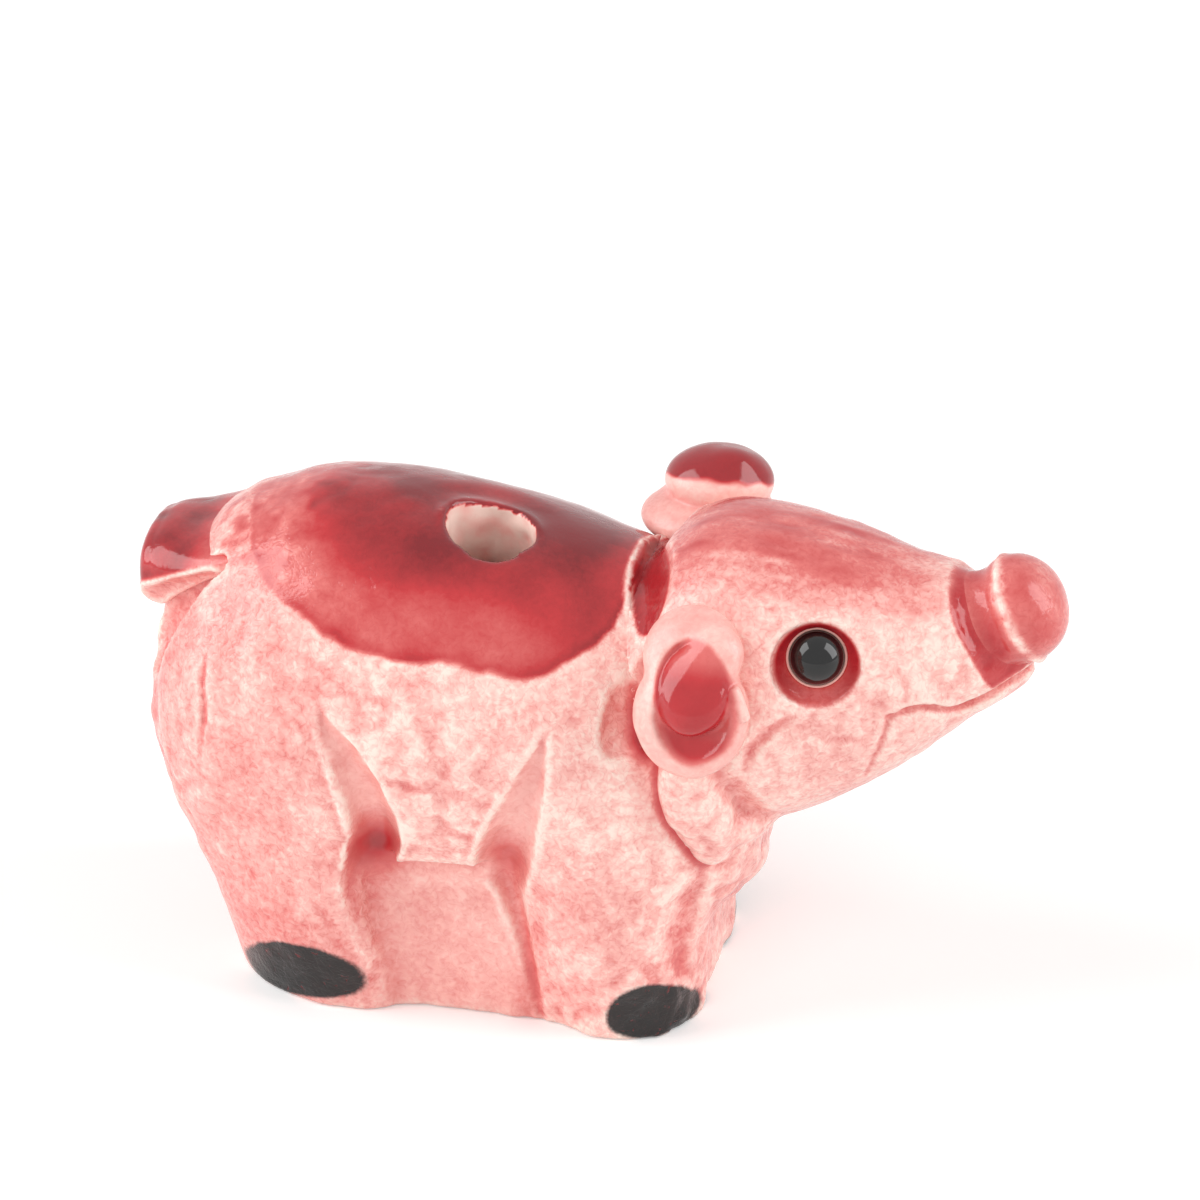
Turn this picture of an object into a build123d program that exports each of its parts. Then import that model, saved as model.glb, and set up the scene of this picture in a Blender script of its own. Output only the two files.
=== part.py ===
from build123d import *

import os
from math import cos, radians, sin, sqrt

# A hand-built ceramic pig. Its hollow body is two shells luted together at a level seam. The head, snout,
# ears and tail are separate lumps of clay, each cut to the curved surface that it is luted on, and the eyes
# are glass beads bedded on cement in countersunk sockets.
# Frame: +X towards the snout, +Y to the pig's left, +Z up, in millimetres. The origin lies on the ground,
# below the middle of the whole figure.

# Body: the barrel from rump to chest, its wall, and the level seam between its two shells
BODY_LENGTH = 46.0
BODY_WIDTH = 28.4
BODY_HEIGHT = 32.2
BELLY_HEIGHT = 6.4
WALL = 4.0
SEAM_RISE = 16.1

# Sections of the barrel: place along its length, half width, back and belly
BARREL_SHARES = (
    (0.000, 0.30, 0.620, 0.300),
    (0.030, 0.56, 0.745, 0.180),
    (0.090, 0.80, 0.875, 0.075),
    (0.200, 0.94, 0.963, 0.019),
    (0.374, 1.00, 1.000, 0.000),
    (0.548, 0.985, 0.972, 0.000),
    (0.720, 0.93, 0.916, 0.000),
    (0.850, 0.82, 0.842, 0.006),
    (0.950, 0.62, 0.690, 0.040),
    (1.000, 0.40, 0.520, 0.120),
)

# Plinth of clay left standing between the legs, narrower than they are and flared upwards
PLINTH_REAR_SETBACK = 6.8
PLINTH_FRONT_SETBACK = 3.6
PLINTH_WIDTH = 20.6
PLINTH_HEIGHT = 14.0
PLINTH_CORNER = 8.0
PLINTH_FLARE = 2.0

# Legs: distance of the hind pair from the rump and of the fore pair from the chest, then sizes at the ground
HIND_LEG_SETBACK = 14.2
FORE_LEG_SETBACK = 9.5
LEG_SPREAD = 12.4
LEG_HEIGHT = 21.0
LEG_WIDTH = 10.2
HIND_LEG_LENGTH = 15.0
FORE_LEG_LENGTH = 11.2
HIND_LEG_TURN = 20.0
FORE_LEG_TURN = 0.0

# Sections of a leg: height, shift to the rear, shift inwards, length and width
LEG_SHARES = (
    (0.00, 0.000, 0.000, 1.00, 1.00),
    (0.48, 0.120, -0.050, 1.18, 1.16),
    (1.00, 0.090, 0.060, 1.16, 1.10),
)

# Tapered grooves carved up the flanks beside the legs, their points leaning apart: the hind pair's distance
# from the rump and the fore pair's from the chest, then sizes
HIND_GROOVE_SETBACK = 15.4
FORE_GROOVE_SETBACK = 13.9
GROOVE_RISE = 22.6
GROOVE_LENGTH = 19.0
GROOVE_RADIUS = 2.3
GROOVE_INSET = 0.4
GROOVE_LEAN = 18.0

# Recess carved into each flank between its two legs, widening outwards
RECESS_REAR_SETBACK = 18.0
RECESS_FRONT_SETBACK = 16.0
RECESS_HEIGHT = 13.9
RECESS_DEPTH = 3.8
RECESS_FLARE = 2.7

# Outline of a recess: height, rear end and front end
RECESS_SHARES = (
    (-0.10, 0.15, 1.11),
    (0.72, 0.00, 0.95),
    (1.00, 0.10, 0.89),
)

# Round hole through the back into the hollow, leaning to the right
HOLE_SETBACK = 25.5
HOLE_DIAMETER = 6.6
HOLE_LEAN = 10.0

# Head: a tapered lump that starts inside the body and ends in the lower lip
NECK_DEPTH = 10.8
HEAD_RISE = 8.2
HEAD_LENGTH = 30.4
HEAD_WIDTH = 22.0
HEAD_HEIGHT = 24.4

# Sections of the head: place along its length, half width, top and bottom
HEAD_SHARES = (
    (0.000, 0.780, 0.770, 0.098),
    (0.200, 1.000, 0.980, 0.008),
    (0.360, 0.985, 1.000, 0.041),
    (0.525, 0.855, 0.971, 0.123),
    (0.690, 0.670, 0.918, 0.254),
    (0.850, 0.460, 0.870, 0.426),
    (0.915, 0.330, 0.800, 0.492),
    (1.000, 0.100, 0.690, 0.575),
)

# Groove over the top of the neck, where head and body meet
NECK_GROOVE_SETBACK = 9.2
NECK_GROOVE_DROP = 12.6
NECK_GROOVE_REACH = 9.7
NECK_GROOVE_RADIUS = 1.5
NECK_GROOVE_SWEEP = 120.0

# Mouth line, a shallow slit round the front of the head that climbs to the lip
MOUTH_LENGTH = 8.4
MOUTH_RISE = 13.1
MOUTH_CLIMB = 4.6
MOUTH_SAG = 1.2
MOUTH_WIDTH = 0.7
MOUTH_DEPTH = 0.7

# Snout: a domed button on a stem, tipped up, past the lip
SNOUT_OVERHANG = 2.2
SNOUT_RISE = 19.6
SNOUT_DIAMETER = 7.8
SNOUT_DOME = 3.2
SNOUT_BAND = 0.3
SNOUT_STEM = 2.2
SNOUT_TILT = 28.0

# Cove carved round the nose behind the button, left open above the mouth
COVE_OUTSET = 0.8
COVE_RADIUS = 1.75
COVE_SWEEP = 240.0

# Jowls: a flattened lobe of the head below each ear, leaning forwards and tucked in towards the chest
JOWL_SETBACK = 7.3
JOWL_RISE = 5.4
JOWL_INSET = 0.8
JOWL_LENGTH = 10.6
JOWL_WIDTH = 5.0
JOWL_THICKNESS = 4.0
JOWL_LEAN = 30.0
JOWL_TUCK = 10.0

# Sections of a jowl: place along its length, and size
JOWL_SHARES = (
    (0.00, 0.35),
    (0.12, 0.68),
    (0.50, 1.00),
    (0.88, 0.68),
    (1.00, 0.35),
)

# Eyes: glass beads bedded on cement, in countersunk sockets that face outwards, upwards and forwards
EYE_SETBACK = 16.2
EYE_RISE = 18.2
EYE_INSET = 2.5
EYE_TILT = 22.0
EYE_TURN = 12.0
BEAD_DIAMETER = 4.0
CEMENT_RING = 0.2
CEMENT_BED = 0.4
SOCKET_DEPTH = 1.5
SOCKET_MARGIN = 1.15

# Ears: drooping lobes with a padded dish; the left one sits further back and higher than the right
RIGHT_EAR_SETBACK = 8.2
RIGHT_EAR_RISE = 16.2
LEFT_EAR_SETBACK = 5.0
LEFT_EAR_RISE = 18.2
EAR_OUTSET = 0.6
EAR_LENGTH = 12.4
EAR_WIDTH = 8.2
EAR_THICKNESS = 4.2
EAR_DROOP = 14.0
DISH_DIAMETER = 6.8
DISH_DEPTH = 1.6
DISH_DROP = 1.6
PAD_DIAMETER = 5.5
PAD_SINK = 0.2

# Sections of an ear: place through its thickness, and size
EAR_SHARES = (
    (0.00, 0.70),
    (0.12, 0.88),
    (0.45, 1.00),
    (0.85, 0.92),
    (1.00, 0.78),
)

# Tail: a blunt stub let into the rump, deeper at its end
TAIL_OVERHANG = 1.7
TAIL_DROP = 3.4
TAIL_LENGTH = 8.6
TAIL_WIDTH = 9.0
TAIL_END_HEIGHT = 7.4
TAIL_ROOT_HEIGHT = 5.0
TAIL_ROOT_RISE = 1.0
TAIL_CORNER_SHARE = 0.33
TAIL_ROUND_SHARE = 0.22

# Half a turn, which starts an upright oval at its lowest point
HALF_TURN = 180.0

# How far a cutter runs on past the face that it leaves by
OVERRUN = 6.0

FIGURE_LENGTH = TAIL_OVERHANG + BODY_LENGTH - NECK_DEPTH + HEAD_LENGTH + SNOUT_OVERHANG
TAIL_END_X = -FIGURE_LENGTH / 2
BODY_REAR_X = TAIL_END_X + TAIL_OVERHANG
BODY_FRONT_X = BODY_REAR_X + BODY_LENGTH
BODY_TOP_Z = BELLY_HEIGHT + BODY_HEIGHT
SEAM_Z = BELLY_HEIGHT + SEAM_RISE
HEAD_REAR_X = BODY_FRONT_X - NECK_DEPTH
HEAD_LOW_Z = BELLY_HEIGHT + HEAD_RISE
LIP_X = HEAD_REAR_X + HEAD_LENGTH
SNOUT_END_X = LIP_X + SNOUT_OVERHANG
SOCKET_BORE = BEAD_DIAMETER / 2 + CEMENT_RING
SIDES = {"right": -1, "left": 1}
FROM_BASE = (Align.CENTER, Align.CENTER, Align.MIN)
FROM_TOP = (Align.CENTER, Align.CENTER, Align.MAX)


def barrel_solid(inset=0.0):
    """The barrel as a loft of upright ovals, drawn in on all sides by the inset."""
    length = BODY_LENGTH - 2 * inset
    height = BODY_HEIGHT - 2 * inset
    half_width = BODY_WIDTH / 2 - inset
    rear = BODY_REAR_X + inset
    low = BELLY_HEIGHT + inset
    ovals = []
    for along, wide, top, bottom in BARREL_SHARES:
        with BuildSketch(Plane.YZ.offset(rear + along * length)) as oval:
            with Locations((0, low + height * (top + bottom) / 2)):
                Ellipse(half_width * wide, height * (top - bottom) / 2, rotation=HALF_TURN)
        ovals.append(oval.sketch)
    with BuildPart() as barrel:
        loft(ovals)
    return barrel.part


def head_solid(inset=0.0):
    """The head as a loft of upright ovals from the neck to the lip, each drawn in by the inset."""
    ovals = []
    for along, wide, top, bottom in HEAD_SHARES:
        with BuildSketch(Plane.YZ.offset(HEAD_REAR_X + along * HEAD_LENGTH)) as oval:
            with Locations((0, HEAD_LOW_Z + HEAD_HEIGHT * (top + bottom) / 2)):
                Ellipse(HEAD_WIDTH / 2 * wide - inset, HEAD_HEIGHT * (top - bottom) / 2 - inset)
        ovals.append(oval.sketch)
    with BuildPart() as lump:
        loft(ovals)
    return lump.part


def leg_solid(place_x, length, turn, side):
    """One leg, a loft of ovals from the ground up into the barrel."""
    ovals = []
    for up, back, inward, long, wide in LEG_SHARES:
        middle_x = place_x - back * length
        middle_y = side * (LEG_SPREAD / 2 - inward * LEG_WIDTH)
        with BuildSketch(Plane.XY.offset(up * LEG_HEIGHT)) as oval:
            with Locations((middle_x, middle_y)):
                Ellipse(length * long / 2, LEG_WIDTH * wide / 2, rotation=side * turn)
        ovals.append(oval.sketch)
    with BuildPart() as leg:
        loft(ovals)
    return leg.part


def flank_groove(place_x, lean, side):
    """A tapered cutter that lies along the flank, its point up."""
    point = (place_x, side * (BODY_WIDTH / 2 - GROOVE_INSET), BELLY_HEIGHT + GROOVE_RISE)
    along = (sin(radians(lean)), 0, -cos(radians(lean)))
    with BuildPart() as groove:
        with Locations(Plane(point, x_dir=(0, 1, 0), z_dir=along)):
            Cone(0, GROOVE_RADIUS, GROOVE_LENGTH, align=FROM_BASE)
    return groove.part


def jowl_solid(side):
    """One jowl, a loft of ovals down its length."""
    lean = radians(JOWL_LEAN)
    tuck = radians(JOWL_TUCK)
    down = (sin(lean) * cos(tuck), -side * sin(tuck), -cos(lean) * cos(tuck))
    middle = (HEAD_REAR_X + JOWL_SETBACK, side * (HEAD_WIDTH / 2 - JOWL_INSET), HEAD_LOW_Z + JOWL_RISE)
    top = Plane(middle, x_dir=(cos(lean), 0, sin(lean)), z_dir=down).offset(-JOWL_LENGTH / 2)
    ovals = []
    for along, spread in JOWL_SHARES:
        with BuildSketch(top.offset(along * JOWL_LENGTH)) as oval:
            Ellipse(JOWL_WIDTH / 2 * spread, JOWL_THICKNESS / 2 * spread)
        ovals.append(oval.sketch)
    with BuildPart() as jowl:
        loft(ovals)
    return jowl.part


def recess_outline(out, flare):
    """Outline of the recess between the right legs, on an upright plane at a distance from the middle."""
    rear_x = BODY_REAR_X + RECESS_REAR_SETBACK
    length = BODY_LENGTH - RECESS_REAR_SETBACK - RECESS_FRONT_SETBACK
    rear_side = []
    front_side = []
    for up, rear, front in RECESS_SHARES:
        rear_side.append((rear_x + rear * length - flare, up * RECESS_HEIGHT))
        front_side.append((rear_x + front * length + flare, up * RECESS_HEIGHT))
    with BuildSketch(Plane.XZ.offset(out)) as outline:
        with BuildLine():
            Polyline(*rear_side, *reversed(front_side), close=True)
        make_face()
    return outline.sketch


def eye_plane(side):
    """The plane of a socket's rim, facing outwards."""
    tilt = radians(EYE_TILT)
    turn = radians(EYE_TURN)
    outward = (cos(tilt) * sin(turn), side * cos(tilt) * cos(turn), sin(tilt))
    middle = (HEAD_REAR_X + EYE_SETBACK, side * (HEAD_WIDTH / 2 - EYE_INSET), HEAD_LOW_Z + EYE_RISE)
    return Plane(middle, z_dir=outward)


os.makedirs("parts", exist_ok=True)

# Whole body before hollowing: barrel, plinth and four legs
with BuildPart() as body_mass:
    add(barrel_solid())
    plinth_length = BODY_LENGTH - PLINTH_REAR_SETBACK - PLINTH_FRONT_SETBACK
    plinth_middle = (BODY_REAR_X + PLINTH_REAR_SETBACK + plinth_length / 2, 0)
    with BuildSketch() as plinth_foot:
        with Locations(plinth_middle):
            RectangleRounded(plinth_length, PLINTH_WIDTH, PLINTH_CORNER)
    with BuildSketch(Plane.XY.offset(PLINTH_HEIGHT)) as plinth_top:
        with Locations(plinth_middle):
            RectangleRounded(plinth_length + PLINTH_FLARE, PLINTH_WIDTH + PLINTH_FLARE, PLINTH_CORNER)
    loft([plinth_foot.sketch, plinth_top.sketch])
    for leg_side in SIDES.values():
        add(leg_solid(BODY_REAR_X + HIND_LEG_SETBACK, HIND_LEG_LENGTH, HIND_LEG_TURN, leg_side))
        add(leg_solid(BODY_FRONT_X - FORE_LEG_SETBACK, FORE_LEG_LENGTH, FORE_LEG_TURN, leg_side))

# Cutters for the carved grooves
with BuildPart() as flank_grooves:
    for groove_side in SIDES.values():
        add(flank_groove(BODY_REAR_X + HIND_GROOVE_SETBACK, GROOVE_LEAN, groove_side))
        add(flank_groove(BODY_FRONT_X - FORE_GROOVE_SETBACK, -GROOVE_LEAN, groove_side))

with BuildPart() as leg_recesses:
    recess_floor = BODY_WIDTH / 2 - RECESS_DEPTH
    loft([recess_outline(recess_floor, 0), recess_outline(recess_floor + OVERRUN, RECESS_FLARE)], ruled=True)
    mirror(about=Plane.XZ)

with BuildPart() as neck_groove:
    neck_middle = (BODY_FRONT_X - NECK_GROOVE_SETBACK, 0, BODY_TOP_Z - NECK_GROOVE_DROP)
    neck_plane = Plane(neck_middle, x_dir=(1, 0, 0), z_dir=(0, -1, 0))
    with BuildSketch(neck_plane.rotated((-NECK_GROOVE_SWEEP / 2, 0, 0))):
        with Locations((0, NECK_GROOVE_REACH)):
            Circle(NECK_GROOVE_RADIUS)
    revolve(axis=Axis(neck_middle, (1, 0, 0)), revolution_arc=NECK_GROOVE_SWEEP)

with BuildPart() as mouth_slit:
    with BuildSketch(Plane.XZ):
        with BuildLine(mode=Mode.PRIVATE) as mouth_line:
            corner = (LIP_X - MOUTH_LENGTH, HEAD_LOW_Z + MOUTH_RISE)
            past_lip = (LIP_X + OVERRUN, HEAD_LOW_Z + MOUTH_RISE + MOUTH_CLIMB)
            SagittaArc(corner, past_lip, -MOUTH_SAG)
        SlotArc(mouth_line.edges()[0], MOUTH_WIDTH)
    extrude(amount=HEAD_WIDTH / 2, both=True)
    add(head_solid(MOUTH_DEPTH), mode=Mode.SUBTRACT)

# Snout's button before it is cut to the head; its dome's foremost point is the front end of the figure
snout_tilt = radians(SNOUT_TILT)
dome_radius = ((SNOUT_DIAMETER / 2) ** 2 + SNOUT_DOME**2) / (2 * SNOUT_DOME)
snout_reach = dome_radius - (dome_radius - SNOUT_DOME) * cos(snout_tilt)
snout_rim = Plane(
    (SNOUT_END_X - snout_reach, 0, HEAD_LOW_Z + SNOUT_RISE),
    x_dir=(-sin(snout_tilt), 0, cos(snout_tilt)),
    z_dir=(cos(snout_tilt), 0, sin(snout_tilt)),
)
cove_reach = SNOUT_DIAMETER / 2 + COVE_OUTSET
cove_setback = SNOUT_BAND + sqrt(COVE_RADIUS**2 - COVE_OUTSET**2)
with BuildPart() as snout_turning:
    with BuildSketch(Plane.XZ):
        with BuildLine():
            dome = RadiusArc((SNOUT_DIAMETER / 2, 0), (0, SNOUT_DOME), -dome_radius)
            stem_low = -cove_setback - SNOUT_STEM
            stem = Polyline(dome @ 1, (0, stem_low), (cove_reach - COVE_RADIUS, stem_low))
            throat = Line(stem @ 1, (cove_reach - COVE_RADIUS, -cove_setback))
            band = Line(dome @ 0, (SNOUT_DIAMETER / 2, -SNOUT_BAND))
            RadiusArc(throat @ 1, band @ 1, COVE_RADIUS)
        make_face()
    revolve(axis=Axis.Z)

with BuildPart() as cove_turning:
    cove_start = radians(-COVE_SWEEP / 2)
    cove_plane = Plane(
        (0, 0, 0),
        x_dir=(cos(cove_start), sin(cove_start), 0),
        z_dir=(sin(cove_start), -cos(cove_start), 0),
    )
    with BuildSketch(cove_plane):
        with Locations((cove_reach, -cove_setback)):
            Circle(COVE_RADIUS)
    revolve(axis=Axis.Z, revolution_arc=COVE_SWEEP)

with BuildPart() as snout_cove:
    with Locations(snout_rim):
        add(cove_turning.part)

# Upper shell of the body, with the hole in the back
with BuildPart() as back_shell:
    add(body_mass.part)
    split(bisect_by=Plane.XY.offset(SEAM_Z), keep=Keep.TOP)
    add(barrel_solid(WALL), mode=Mode.SUBTRACT)
    add(flank_grooves.part, mode=Mode.SUBTRACT)
    add(neck_groove.part, mode=Mode.SUBTRACT)
    hole_axis = (0, -sin(radians(HOLE_LEAN)), cos(radians(HOLE_LEAN)))
    with Locations(Plane((BODY_REAR_X + HOLE_SETBACK, 0, SEAM_Z), z_dir=hole_axis)):
        Cylinder(HOLE_DIAMETER / 2, BODY_HEIGHT, align=FROM_BASE, mode=Mode.SUBTRACT)
back_shell.part.label = "back_shell"
export_step(back_shell.part, "parts/back_shell.step")

# Lower shell of the body, with the legs and the flat base
with BuildPart() as belly_shell:
    add(body_mass.part)
    split(bisect_by=Plane.XY.offset(SEAM_Z), keep=Keep.BOTTOM)
    add(barrel_solid(WALL), mode=Mode.SUBTRACT)
    add(flank_grooves.part, mode=Mode.SUBTRACT)
    add(leg_recesses.part, mode=Mode.SUBTRACT)
belly_shell.part.label = "belly_shell"
export_step(belly_shell.part, "parts/belly_shell.step")

# Head, cut to the body that it is luted on, with its jowls, mouth line, cove and eye sockets
with BuildPart() as head:
    add(head_solid())
    for jowl_side in SIDES.values():
        add(jowl_solid(jowl_side))
    add(body_mass.part, mode=Mode.SUBTRACT)
    add(neck_groove.part, mode=Mode.SUBTRACT)
    add(mouth_slit.part, mode=Mode.SUBTRACT)
    add(snout_cove.part, mode=Mode.SUBTRACT)
    for eye_side in SIDES.values():
        rim = eye_plane(eye_side)
        with Locations(rim):
            Cylinder(SOCKET_BORE + SOCKET_MARGIN, OVERRUN, align=FROM_BASE, mode=Mode.SUBTRACT)
            Cone(
                SOCKET_BORE,
                SOCKET_BORE + SOCKET_MARGIN,
                SOCKET_DEPTH,
                align=FROM_TOP,
                mode=Mode.SUBTRACT,
            )
        with Locations(rim.offset(-SOCKET_DEPTH)):
            Cylinder(SOCKET_BORE, BEAD_DIAMETER / 2 + CEMENT_BED, align=FROM_TOP, mode=Mode.SUBTRACT)
head.part.label = "head"
export_step(head.part, "parts/head.step")

# Snout, cut to the head
with BuildPart() as snout:
    with Locations(snout_rim):
        add(snout_turning.part)
    add(head_solid(), mode=Mode.SUBTRACT)
snout.part.label = "snout"
export_step(snout.part, "parts/snout.step")

# Eyes, and the cement cup that each one lies in
for side_name, eye_side in SIDES.items():
    seat = eye_plane(eye_side).offset(-SOCKET_DEPTH)
    with BuildPart() as eye:
        with Locations(seat):
            Sphere(BEAD_DIAMETER / 2)
    eye.part.label = f"{side_name}_eye"
    export_step(eye.part, f"parts/{side_name}_eye.step")

    with BuildPart() as eye_cement:
        with Locations(seat):
            Cylinder(SOCKET_BORE, BEAD_DIAMETER / 2 + CEMENT_BED, align=FROM_TOP)
            Sphere(BEAD_DIAMETER / 2, mode=Mode.SUBTRACT)
    eye_cement.part.label = f"{side_name}_eye_cement"
    export_step(eye_cement.part, f"parts/{side_name}_eye_cement.step")

# Ears, each with a pad of clay in its dish, cut to the head and the body behind it
ear_places = {
    "right": (RIGHT_EAR_SETBACK, RIGHT_EAR_RISE),
    "left": (LEFT_EAR_SETBACK, LEFT_EAR_RISE),
}
dish_radius = ((DISH_DIAMETER / 2) ** 2 + DISH_DEPTH**2) / (2 * DISH_DEPTH)
for side_name, ear_side in SIDES.items():
    setback, rise = ear_places[side_name]
    outward = (0, ear_side * cos(radians(EAR_DROOP)), sin(radians(EAR_DROOP)))
    ear_middle = (HEAD_REAR_X + setback, ear_side * (HEAD_WIDTH / 2 + EAR_OUTSET), HEAD_LOW_Z + rise)
    lobe = Plane(ear_middle, x_dir=(1, 0, 0), z_dir=outward)
    ear_ovals = []
    for through, spread in EAR_SHARES:
        with BuildSketch(lobe.offset(through * EAR_THICKNESS - EAR_THICKNESS / 2)) as ear_oval:
            Ellipse(EAR_WIDTH / 2 * spread, EAR_LENGTH / 2 * spread, rotation=HALF_TURN)
        ear_ovals.append(ear_oval.sketch)
    with BuildPart() as ear:
        loft(ear_ovals)
        with Locations(lobe.offset(EAR_THICKNESS / 2)):
            with Locations((0, ear_side * DISH_DROP, dish_radius - DISH_DEPTH)):
                Sphere(dish_radius, mode=Mode.SUBTRACT)
            with Locations((0, ear_side * DISH_DROP, -PAD_SINK - PAD_DIAMETER / 2)):
                Sphere(PAD_DIAMETER / 2)
        add(head_solid(), mode=Mode.SUBTRACT)
        add(body_mass.part, mode=Mode.SUBTRACT)
    ear.part.label = f"{side_name}_ear"
    export_step(ear.part, f"parts/{side_name}_ear.step")

# Tail, cut to the rump
with BuildPart() as tail:
    with BuildSketch(Plane.YZ.offset(TAIL_END_X)) as tail_end:
        with Locations((0, BODY_TOP_Z - TAIL_DROP - TAIL_END_HEIGHT / 2)):
            RectangleRounded(TAIL_WIDTH, TAIL_END_HEIGHT, TAIL_CORNER_SHARE * TAIL_END_HEIGHT)
    with BuildSketch(Plane.YZ.offset(TAIL_END_X + TAIL_LENGTH)) as tail_root:
        with Locations((0, BODY_TOP_Z - TAIL_DROP + TAIL_ROOT_RISE - TAIL_ROOT_HEIGHT / 2)):
            RectangleRounded(TAIL_WIDTH, TAIL_ROOT_HEIGHT, TAIL_CORNER_SHARE * TAIL_ROOT_HEIGHT)
    loft([tail_end.sketch, tail_root.sketch])
    fillet(tail.faces().sort_by(Axis.X)[0].edges(), TAIL_ROUND_SHARE * TAIL_END_HEIGHT)
    add(body_mass.part, mode=Mode.SUBTRACT)
tail.part.label = "tail"
export_step(tail.part, "parts/tail.step")
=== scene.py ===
import itertools
import math

import bmesh
import bpy
import numpy as np
from bpy.props import FloatProperty, FloatVectorProperty, PointerProperty
from mathutils import Matrix, Vector


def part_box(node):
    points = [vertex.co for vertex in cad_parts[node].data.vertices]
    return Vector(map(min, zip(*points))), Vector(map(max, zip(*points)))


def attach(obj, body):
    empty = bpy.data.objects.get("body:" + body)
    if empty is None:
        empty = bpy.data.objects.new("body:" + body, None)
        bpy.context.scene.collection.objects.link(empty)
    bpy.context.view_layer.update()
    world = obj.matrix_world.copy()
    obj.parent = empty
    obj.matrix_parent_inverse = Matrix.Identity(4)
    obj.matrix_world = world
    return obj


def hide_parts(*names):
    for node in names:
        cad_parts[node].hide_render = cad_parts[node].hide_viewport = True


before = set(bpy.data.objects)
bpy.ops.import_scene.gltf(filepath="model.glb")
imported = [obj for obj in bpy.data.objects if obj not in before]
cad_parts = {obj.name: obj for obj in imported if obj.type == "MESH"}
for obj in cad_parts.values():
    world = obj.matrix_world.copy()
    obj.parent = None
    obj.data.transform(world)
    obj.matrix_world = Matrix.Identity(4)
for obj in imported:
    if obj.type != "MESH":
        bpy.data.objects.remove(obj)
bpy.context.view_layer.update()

bl_info = {
    "name": "Glazed clay pig",
    "version": (1, 0, 0),
    "blender": (4, 5, 0),
    "location": "3D View > Sidebar > Clay pig",
    "description": "Sculpts and glazes a small hand-built clay pig around its packed frame",
    "category": "Add Mesh",
}

MM = 0.001
SIDES = {"right": -1, "left": 1}

# All forms below are in millimetres: +X to the snout, +Y to the pig's left, +Z up.
# Barrel of the body: place along X, half width, back and belly
BARREL = (
    (-33.4, 1.6, 23.4, 19.0),
    (-33.1, 4.0, 26.0, 16.2),
    (-31.7, 8.0, 30.4, 12.2),
    (-28.9, 11.4, 34.6, 8.8),
    (-23.9, 13.4, 37.4, 7.0),
    (-15.9, 14.2, 38.6, 6.4),
    (-7.8, 14.0, 37.7, 6.4),
    (0.1, 13.2, 35.9, 6.4),
    (6.1, 11.6, 33.5, 6.6),
    (10.7, 8.8, 28.6, 7.7),
    (13.0, 5.7, 23.1, 10.3),
)

# Legs: height, then place along X and Y and half length and half width there
HIND_LEG = (
    (0.0, -18.9, 6.2, 7.6, 5.2),
    (10.0, -20.6, 6.7, 8.9, 5.9),
    (21.0, -20.2, 5.6, 8.7, 5.6),
)
FORE_LEG = (
    (0.0, 3.4, 6.2, 5.6, 5.1),
    (10.0, 2.2, 6.7, 6.6, 5.9),
    (21.0, 2.4, 5.6, 6.5, 5.6),
)
HIND_TURN = math.radians(20.0)

# Clay left standing between the legs: low and high corner of its box, and its corner radius
PLINTH = ((-26.2, -10.3, -4.0), (9.3, 10.3, 14.0), 6.0)

# Recess between the legs: height, then its rear and front wall
RECESS_WALLS = (
    (0.0, -13.2, -1.7),
    (4.0, -13.6, -2.2),
    (8.0, -14.6, -3.0),
    (11.0, -15.0, -3.8),
    (15.0, -13.8, -4.4),
)
RECESS_TOP = 13.9
RECESS_FLOOR = 10.4

# Lines carved with a loop tool, seen from the side: X, Z, half width and depth
HIND_GROOVE = (
    (-17.7, 27.1, 0.2, 0.1),
    (-16.9, 25.4, 0.8, 0.5),
    (-15.9, 23.7, 1.3, 0.9),
    (-14.8, 21.5, 1.65, 1.2),
    (-13.9, 18.8, 1.85, 1.5),
    (-13.7, 16.0, 2.0, 1.9),
    (-14.6, 13.4, 1.7, 1.9),
    (-15.6, 11.2, 1.0, 0.9),
    (-15.2, 8.0, 0.6, 0.35),
    (-14.1, 4.0, 0.4, 0.15),
)
FORE_GROOVE = (
    (-1.0, 26.4, 0.2, 0.1),
    (-1.3, 25.0, 0.6, 0.4),
    (-1.8, 23.2, 1.1, 0.7),
    (-2.5, 20.8, 1.55, 1.0),
    (-3.3, 18.2, 1.9, 1.25),
    (-4.0, 15.8, 2.15, 1.5),
    (-4.5, 13.6, 2.0, 1.5),
    (-4.2, 11.2, 1.2, 0.8),
    (-3.4, 8.0, 0.8, 0.5),
    (-2.5, 3.5, 0.6, 0.3),
    (-2.0, 0.5, 0.5, 0.2),
)
MOUTH = (
    (23.2, 28.0, 0.3, 0.2),
    (24.5, 28.4, 0.45, 0.4),
    (25.6, 28.4, 0.5, 0.5),
    (27.7, 27.8, 0.5, 0.55),
    (29.8, 28.6, 0.45, 0.5),
    (31.4, 29.4, 0.4, 0.45),
    (33.2, 30.2, 0.3, 0.4),
)

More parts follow.
